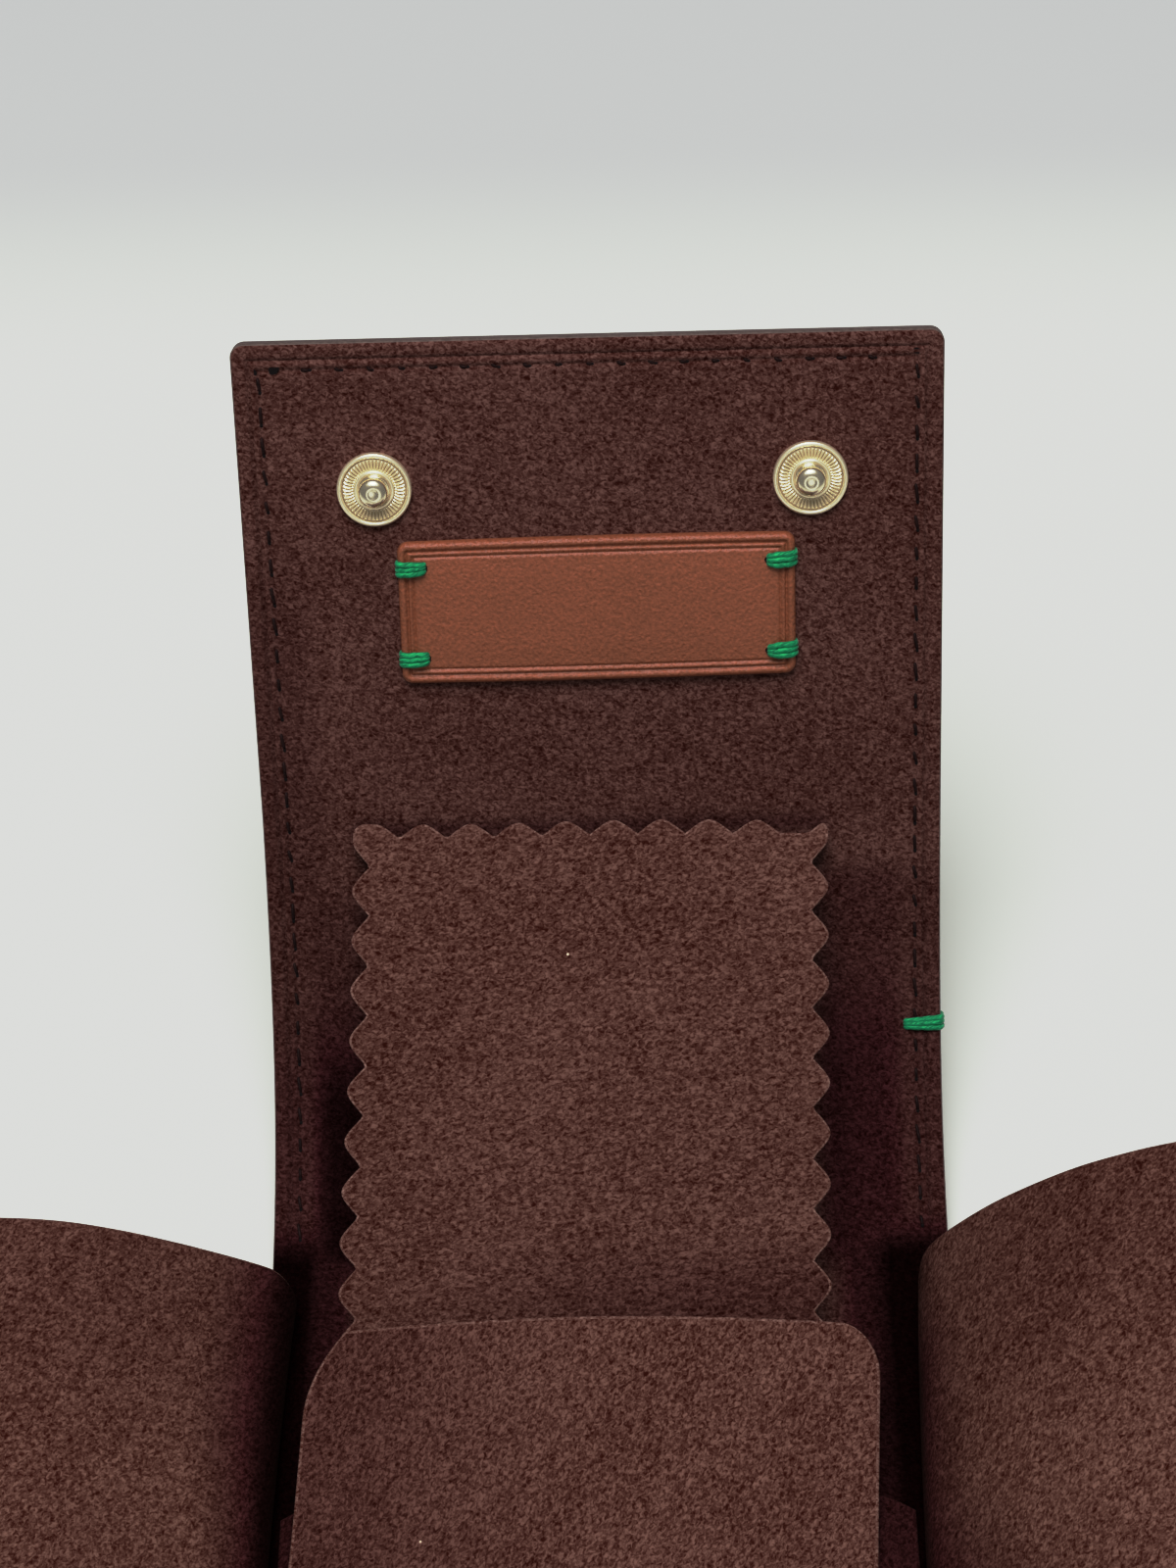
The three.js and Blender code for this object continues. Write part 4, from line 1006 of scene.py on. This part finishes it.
label_top = LABEL_THICKNESS + 0.15
TACK_PATH = [  # inwards from the label's edge, and height
    (TACK_REACH, label_top - 0.7), (TACK_REACH - 0.12, label_top + 0.1),
    (TACK_REACH - 0.6, label_top + 0.30), (1.6, label_top + 0.34), (0.7, label_top + 0.24),
    (0.16, label_top - 0.2), (0.04, 0.45), (0.06, -0.25),
]
for side, side_word in SIDES:
    edge = side * LABEL_HALF + LABEL_SHIFT
    path = [(edge - side * inset, lift) for inset, lift in TACK_PATH]
    for s, word in ((LABEL_FROM + TACK_FROM_CORNER, "lower"), (LABEL_TO - TACK_FROM_CORNER, "upper")):
        seed = side * 2 + (word == "upper")
        tack_s = FLAP_ROOT_S + s + LABEL_TILT * edge
        thread = tack(flap, path, tack_s, 0.3 * side, TACK_WIDTH, seed)
        # The tack's hole is a dark disc: painted shade.
        hole = punched(edge - side * TACK_REACH, S_MAX - tack_s + 0.15 * side, 0.5, label_top + 0.02)
        points, faces, flat = joined([thread, hole])
        slots = [0] * len(thread[1]) + [1]
        name = f"tack_{word}_{side_word}"
        made = add_mesh(name, points, faces, [GREEN_THREAD, HOLE_SHADE], slots, flat)
        stands_for(made, f"label_{name}", "green_thread", "flap")

EDGE_TACK_PATH = [  # inwards from the strip's edge, and height
    (EDGE_TACK_REACH, -0.5), (EDGE_TACK_REACH - 0.25, 0.12), (EDGE_TACK_REACH - 1.2, 0.30), (2.0, 0.30),
    (0.4, 0.18), (-0.08, -0.55), (-0.14, -1.6), (-0.05, -2.7), (0.9, -3.25), (3.0, -3.3),
    (EDGE_TACK_REACH - 0.3, -3.1), (EDGE_TACK_REACH, -2.5),
]
tack_piece = far[3]
path = [(HALF_WIDTH - inset, lift) for inset, lift in EDGE_TACK_PATH]
points, faces, flat = tack(tack_piece, path, tack_piece.s_from - 0.55, 0.4, EDGE_TACK_WIDTH, 4)
made = add_mesh("tack_edge", points, faces, [GREEN_THREAD], flat=flat)
stands_for(made, "edge_tack", "green_thread", "far_bend_3")


# Soft sheets

FINE = np.array([0, 0.08, 0.2, 0.38, 0.6, 0.9, 1.4, 2.0])
CUT_BAND = 0.3  # how far the paler cut shows in from an edge
BACK_APART = (211, 307, 0)  # keeps the back's nap apart from the front's


def soft_sheet(
    name, surface, d, thickness, flat, finish, given="middle", rim=0.6, square=0.3, folds=None,
    cut=CUT_EDGE,
):
    """A soft sheet from its surface grid, cut raw: the paler cut shows round its edge."""
    points, faces, slots = solid(*sheet_faces(surface, d, thickness, rim, given, square))
    near_edge = cells(d) < CUT_BAND
    slots[: 2 * len(near_edge)][np.tile(near_edge, 2)] = 2
    places = np.concatenate([flat.reshape(-1, 3), (flat + BACK_APART).reshape(-1, 3)])
    folds = None if folds is None else np.tile(folds.ravel(), 2)
    return add_mesh(name, points, faces, [finish, finish, cut], slots, places, folds)


# Pocket panel, sewn to the base on three sides
POCKET_SHIFT = -1.8
POCKET_FROM = -38.0
POCKET_TO = 8.6
POCKET_CORNER = 3.0
POCKET_BOW = 2.6  # how far the middle of its mouth reaches out
POCKET_SWELL = 1.2
POCKET_THICKNESS = 0.9
pocket_length = POCKET_TO - POCKET_FROM
x, y = np.meshgrid(spread(2 * POCKET_HALF, FINE, 1.4) - POCKET_HALF, spread(pocket_length, FINE, 1.4))
side = POCKET_HALF - np.abs(x)
d = np.minimum(np.minimum(side, pocket_length - y), y)
side, y = round_corner(side, y, POCKET_CORNER)
x = np.sign(x) * (POCKET_HALF - side)
y = y + POCKET_FROM + POCKET_BOW * (1 - (x / POCKET_HALF) ** 8) * smooth(y / pocket_length)
swell = smooth(side / 5) * smooth((y - POCKET_FROM) / 6)
z = STRIP_THICKNESS + 0.5 + POCKET_SWELL * swell + 0.08 * waves(x / 6, y / 6, 21)
# Painted shade: the pocket darkens along both sides, where the wings and the tongue would shade it.
pocket = soft_sheet(
    "pocket", np.stack([x + POCKET_SHIFT, y, z], -1), d, POCKET_THICKNESS,
    np.stack([x + 120, y, 0 * x], -1), TONGUE_SUEDE, rim=0.4,
    folds=0.84 * smooth((np.abs(x) - 29) / 4), cut=TONGUE_SUEDE,
)
stands_for(pocket, "pocket_panel", "inner_suede", "base")


# Tongue: a root sewn to the base and a loose part that lifts
def tongue_height(y):
    """The tongue's top over the base: flat, then turned up towards the flap."""
    start, done = TONGUE_BEND
    bend = np.clip((y - start) / (done - start), 0, 1)
    run = (done - start) / 2 * bend**2 + np.maximum(y - done, 0)
    return TONGUE_TOP + math.tan(math.radians(TONGUE_RISE)) * run


def tongue_surface(y_from, y_to, end, inset):
    """Grid over a length of the tongue. end rounds its far corners."""
    half = TONGUE_HALF - inset
    across = spread(2 * half, FINE, 1.3)
    rows = spread(y_to - y_from, FINE, 1.3) if end else np.linspace(0, y_to - y_from, 14)
    a, y = np.meshgrid(across, rows)
    top = y_to - y_from - y
    d = np.minimum(a, 2 * half - a)
    x = a - half
    if end:
        d = np.minimum(d, top)
        off_left = TONGUE_ARC - np.sqrt(TONGUE_ARC**2 - np.clip(TONGUE_ARC_REACH - top, 0, None) ** 2)
        off_right = TONGUE_CORNER[0] * (1 - np.sqrt(1 - np.clip(1 - top / TONGUE_CORNER[1], 0, 1) ** 2))
        x = x + np.where(x < 0, off_left * -x / half, -off_right * x / half)
    y = y_to - top
    share = smooth((y - TONGUE_BEND[1]) / (TONGUE_END - TONGUE_BEND[1]))
    y = y - TONGUE_BOW * (x / half) ** 2 * share
    z = tongue_height(y) + 0.10 * waves(x / 8, y / 9, 31) * smooth((y + 30) / 20)
    lean = TONGUE_SHIFT + TONGUE_LEAN * np.maximum(y, TONGUE_ROOT) - 0.45 * smooth(x / half)
    return np.stack([x + lean, y, z], -1), d, np.stack([x, y, 0 * x], -1)


surface, d, flat = tongue_surface(TONGUE_SPLIT, TONGUE_END, True, 0.0)
# Painted shade: the tongue darkens towards its left side.
tongue = soft_sheet(
    "tongue", surface, d, TONGUE_FACE, flat, TONGUE_SUEDE, "front", 0.5, square=0.6,
    folds=0.34 * (1 - smooth((flat[..., 0] + 38) / 45)),
)
stands_for(tongue, "tongue_face", "inner_suede", "tongue")

surface, d, flat = tongue_surface(TONGUE_SPLIT, TONGUE_END - 0.6, True, 0.6)
underside = soft_sheet(
    "tongue_underside", surface - [0, 0, TONGUE_FACE + 0.02], d, TONGUE_BACK, flat + [60, 0, 9],
    TONGUE_SUEDE, "front", 0.4,
)
stands_for(underside, "tongue_back", "inner_suede", "tongue")

surface, d, flat = tongue_surface(TONGUE_ROOT, TONGUE_SPLIT, False, 0.0)
d = np.minimum(d, surface[..., 1] - TONGUE_ROOT)
root_sheet = soft_sheet(
    "tongue_root_sheet", surface, d, TONGUE_FACE + TONGUE_BACK, flat, TONGUE_SUEDE, "front", 0.9,
)
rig.blend(
    root_sheet, "base", "tongue",
    start=(0, -36 * MM, TONGUE_TOP * MM), end=(0, TONGUE_SPLIT * MM, TONGUE_TOP * MM),
)
stands_for(root_sheet, "tongue_root", "inner_suede")


# Polishing cloth, its edge pinked all round
def pinked(place, first, pitch, depth, soft=0.14):
    """How far a pinked edge lies inside its line at a place along it. Only its teeth are soft."""
    nearest = np.clip(np.round((place - first) / pitch), 0, None)
    off = np.clip(np.abs(place - first - nearest * pitch) / (pitch / 2), 0, 1)
    inset = np.sqrt((1 - off) ** 2 + soft) - math.sqrt(soft)
    return depth * inset / (math.sqrt(1 + soft) - math.sqrt(soft))


CLOTH_TOP_S = 6.3
CLOTH_LIFT = 1.1  # from the lining to its top edge
CLOTH_CORNER = 1.5
CLOTH_TILT = 0.0095
CLOTH_SHIFT = -1.35
CLOTH_TURN = 0.022
CLOTH_FLARE = 0.8  # how far its left edge spreads towards the tongue
CLOTH_SPLIT = 66.0  # from its top to where it lies under the tongue's end
root_place = fold_place("far_fold_5")
up = heading(FLAP_HEADING, 1)
off = np.array([-up[1], up[0]])
cloth_top = root_place + up * CLOTH_TOP_S + off * CLOTH_LIFT
cloth_line = curve_through([
    cloth_top, (72.5, 33.9), (60, 27), (46, 18.9), (34.5, 12.2), (24, 6.6), (13.5, 3.95),
    (2, 3.62), (-8, 3.62), (-20, 3.62),
])
rim_steps = np.array([0, 0.12, 0.3, 0.6])
across = spread(2 * CLOTH_HALF, rim_steps, 0.5) - CLOTH_HALF
rows = spread(CLOTH_LENGTH, rim_steps, 0.5)
a, from_end = np.meshgrid(across, rows)
from_top = CLOTH_LENGTH - from_end
d = np.minimum(np.minimum(CLOTH_HALF - np.abs(a), from_end), from_top)
side_inset = pinked(from_top, *PINK_SIDE) * smooth((np.abs(a) - 21) / 9)
from_left = np.minimum(CLOTH_HALF + a, CLOTH_HALF * 2 - PINK_END[0])
end_inset = pinked(from_left, *PINK_END) * smooth((CLOTH_HALF - a) / 3)
end_inset = end_inset * (smooth((9 - from_top) / 9) - smooth((9 - from_end) / 9))
side, end = round_corner(CLOTH_HALF - np.abs(a), np.minimum(from_top, from_end), CLOTH_CORNER)
a = np.sign(a) * (CLOTH_HALF - side - side_inset)
s = np.where(from_top < from_end, end, CLOTH_LENGTH - end) + end_inset
s = s + CLOTH_TILT * a * smooth(1 - from_top / 40)
lead = unit(cloth_line[0][3] - cloth_line[0][0])
path = along_curve(cloth_line, np.maximum(s, 0)) + np.minimum(s, 0)[..., None] * lead
billow = 0.35 * waves(a / 12, s / 16, 41) * smooth((55 - s) / 30)
flare = CLOTH_FLARE * smooth((from_top - 25) / 30) * smooth(-a / CLOTH_HALF)
x = a + CLOTH_SHIFT - CLOTH_TURN * from_top - flare
surface = np.stack([x, path[..., 0], path[..., 1] + billow], -1)
flat = np.stack([a + 300, -s, 0 * s], -1)
# Painted shade: the cloth darkens near where it dips under the tongue, more towards its right.
folds = 0.34 * smooth((from_top - 50) / 9) * smooth((a + 28) / 40)
split = int(np.argmin(np.abs(CLOTH_LENGTH - rows - CLOTH_SPLIT)))
split_from_end = float(rows[split])


def cloth_length(name, part):
    """One of the cloth's two lengths, the rows in part. They meet under the tongue."""
    sheet = soft_sheet(
        name, surface[part], d[part], CLOTH_THICKNESS, flat[part], CLOTH_SUEDE, rim=0.3, square=0.8,
        folds=folds[part],
    )
    stands_for(sheet, "polishing_cloth", "polishing_cloth", "cloth")
    return sheet


# The outer length crumples as the flap moves, and the tucked length stays flat
cloth = cloth_length("cloth_sheet", slice(split, None))
meeting = along_curve(cloth_line, np.array([CLOTH_LENGTH - split_from_end]))[0]
crumple = cloth_top - meeting
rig.squash(cloth, "flap_fold", axis=(0, *crumple), anchor=(0, *(meeting * MM)), keep=0.06)
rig.sheet(
    cloth, flat=(2 * CLOTH_HALF * MM, (CLOTH_LENGTH - split_from_end) * MM), held="draped",
    rests_on=["suede_base", "suede_flap"],
)
tucked = cloth_length("cloth_tucked", slice(None, split + 1))
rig.sheet(
    tucked, flat=(2 * CLOTH_HALF * MM, split_from_end * MM), held="laid", rests_on=["suede_base", "pocket"],
)


# Wings: each a sheet that rises from the base's side and rolls outwards
WING_LINES = {
    "right": [
        (42.4, 3), (40.8, 3.5), (39.2, 5.1), (38.6, 8), (39.3, 12), (41.6, 15.9), (46.3, 21.4),
        (51.3, 25.8), (56.3, 29.4), (61.3, 32), (66.3, 34), (74, 36.2), (83.5, 37.8),
    ],
    "left": [
        (42.6, 3), (40.9, 3.4), (39.4, 4.7), (39.2, 6.7), (40.6, 8.9), (42.9, 10.7), (46.2, 12.7),
        (49.6, 14.5), (53, 16.2), (59.8, 19.2), (66.6, 21.4), (73.7, 22.4), (84, 22.7), (93.5, 22.4),
    ],
}


def wing_surface(side, line, s_from, s_to, far_end):
    """Grid over a length of a wing's inner face. far_end rounds its outer corners."""
    if far_end:
        steps = np.concatenate([np.linspace(s_from, s_to - FINE[-1], 62)[:-1], s_to - FINE[::-1]])
    else:
        steps = np.linspace(s_from, s_to, 22)
    along = spread(2 * WING_HALF, FINE, 1.4)
    s, y = np.meshgrid(steps, along)
    end = np.minimum(y, 2 * WING_HALF - y)
    d = end
    if far_end:
        out = s_to - s
        d = np.minimum(end, out)
        end, out = round_corner(end, out, WING_CORNER)
        s = s_to - out
    y = np.where(y < WING_HALF, end, 2 * WING_HALF - end) - WING_HALF
    pull = WING_PULL * (1 - smooth((s - 1) / 10))
    y = np.where(y > 0, y * (1 - pull / WING_HALF), y)
    place = along_curve(line, s)
    loose = smooth(s / 30)
    z = place[..., 1] + loose * (0.35 * waves(s / 14, y / 17, 51 + side) + 0.012 * y)
    drift = -WING_DRIFT * (1 - np.exp(-(WING_HALF - y) / 30))
    surface = np.stack([side * place[..., 0] + drift, y + WING_AHEAD, z], -1)
    flat = np.stack([side * (s + 60), y, 0 * s], -1)
    # Painted shade: each wing darkens where it rolls down into the crease at its root, and a little towards the end
    # nearer the flap.
    if side > 0:
        fade = 18 + 10 * smooth((8 - y) / 22)
        folds = 0.97 * (1 - smooth((s - 5) / fade)) * (1 - 0.5 * smooth((y - 22) / 12))
    else:
        fade = 16 - 5.5 * smooth((20 - y) / 22)
        folds = 0.98 * (1 - smooth((s - 6.5) / fade))
    folds = np.maximum(folds, 0.17 * smooth((y - 6) / 24))
    return [grid[::side] for grid in (surface, d, flat, folds)]


for side, word in SIDES:
    line = curve_through(WING_LINES[word])
    for part, s_from, s_to, far_end, bodies, zone in (
        ("root", 0.0, WING_SPLIT, False, ("base", f"{word}_wall"), (2.0, 11.0)),
        ("page", WING_SPLIT, WING_ARC, True, (f"{word}_wall", f"{word}_cover"), (19.0, 35.0)),
    ):
        surface, d, flat, folds = wing_surface(side, line, s_from, s_to, far_end)
        made = soft_sheet(
            f"wing_{word}_{part}", surface, d, WING_THICKNESS, flat, WING_SUEDE, "front", 0.8, folds=folds,
        )
        start, end = [(side * x * MM, 0, z * MM) for x, z in along_curve(line, zone)]
        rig.blend(made, *bodies, start=start, end=end)
        stands_for(made, f"wing_{bodies[1]}", "inner_suede")


# CAD pieces that stay as they are
for name, node in frame["nodes"].items():
    if node.hide_render:
        continue
    finish = BOARD if name.startswith("stiffener") else STEEL
    node.data.materials.clear()
    node.data.materials.append(finish)
    node.data.shade_smooth()
    node.data.set_sharp_from_angle(angle=math.radians(40))


# Floor, light and camera
FLOOR_HALF = 4000.0
FLOOR_LEVEL = -0.4
FLOOR_CHANGE = (212.0, 272.0)  # where the front of the floor gives way to its darker back: painted shade
FLOOR_FRONT = (0.82, 0.84, 0.815, 1)
FLOOR_SHADED_BACK = (0.58, 0.575, 0.61, 1)
floor_paint = Paint("floor", 0.9)
along = floor_paint.node("SeparateXYZ", {"Vector": floor_paint.place})["Y"]
behind = floor_paint.node("MapRange", {
    "Value": along, "From Min": FLOOR_CHANGE[0], "From Max": FLOOR_CHANGE[1],
}, interpolation_type="SMOOTHSTEP")["Result"]
floor_paint.colour(floor_paint.ramp(behind, [(0.0, FLOOR_FRONT), (1.0, FLOOR_SHADED_BACK)]))
corners = [(a * FLOOR_HALF, b * FLOOR_HALF, 0) for a, b in ((-1, -1), (1, -1), (1, 1), (-1, 1))]
floor = add_mesh("floor", corners, [(0, 1, 2, 3)], [floor_paint.material])
floor.location.z = FLOOR_LEVEL * MM
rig.stage(floor)

world = bpy.data.worlds.new("room")
scene.world = world
world.use_nodes = True
room_light = world.node_tree.nodes["Background"].inputs
room_light["Color"].default_value = (0.97, 1.0, 0.99, 1)
room_light["Strength"].default_value = 0.22


def placed(name, data, axes, place):
    """An object with its three axes and its place, in metres."""
    made = bpy.data.objects.new(name, data)
    scene.collection.objects.link(made)
    made.matrix_world = Matrix(np.column_stack([*axes, place]).tolist() + [[0, 0, 0, 1]])
    return made


def area_light(name, place, target, size, power, colour):
    light = bpy.data.lights.new(name, "AREA")
    light.shape = "DISK"
    light.size = size
    light.energy = power
    light.color = colour
    back = unit(np.subtract(place, target))
    right = unit(np.cross([0, 1, 0.01], back))
    placed(name, light, (right, np.cross(back, right), back), place)


area_light("overhead", (-0.06, -0.04, 1.1), (0, 0.03, 0), size=0.7, power=13.4, colour=(1, 0.99, 0.97))
area_light("window", (0.1, -1.15, 0.4), (0, 0.05, 0.04), size=0.8, power=1.4, colour=(0.97, 1, 1))

# The camera as the photo's: lens in pixels, place in millimetres, tilt, turn and roll in degrees
FOCAL_PIXELS = 3361.0
IMAGE_HEIGHT = 1600.0
SENSOR_WIDTH = 36.0
CAMERA_PLACE = (6.7, -178.7, 363.14)
CAMERA_DOWN = 49.94
CAMERA_TURN = -1.76
CAMERA_ROLL = -2.55
down, turn, roll = np.radians((CAMERA_DOWN, CAMERA_TURN, CAMERA_ROLL))
forward = np.array([math.sin(turn) * math.cos(down), math.cos(turn) * math.cos(down), -math.sin(down)])
level = np.array([math.cos(turn), -math.sin(turn), 0])
above = np.cross(level, forward)
right = level * math.cos(roll) + above * math.sin(roll)
upward = -level * math.sin(roll) + above * math.cos(roll)
camera_data = bpy.data.cameras.new("camera")
camera_data.sensor_width = SENSOR_WIDTH
camera_data.lens = SENSOR_WIDTH * FOCAL_PIXELS / IMAGE_HEIGHT
camera_data.clip_start = 0.01
scene.camera = placed("camera", camera_data, (right, upward, -forward), np.array(CAMERA_PLACE) * MM)
view = scene.view_settings
view.view_transform = "Standard"
view.gamma = 0.8

# The photo's tones: the bright floor is held back, so its shadows stay soft
TONES = ((0, 0), (0.1, 0.08), (0.2, 0.16), (0.3, 0.245), (0.68, 0.685), (1, 0.77))
WHITE = (0.966, 1.0, 0.951)  # the floor's tint where it is brightest
view.use_curve_mapping = True
curves = view.curve_mapping.curves
for place in TONES[1:-1]:
    curves[3].points.new(*place)
for point, place in zip(curves[3].points, TONES):
    point.location = place
for curve, share in zip(curves, WHITE):
    curve.points.new(0.4, 0.4)
    curve.points[-1].location = (1.0, 1 - (1 - share) * 2)
view.curve_mapping.update()

low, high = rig.bounds()
with open("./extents.json", "w") as size_file:
    json.dump({"cad": [list(cad_box[0]), list(cad_box[1])], "visual": [list(low), list(high)]}, size_file)
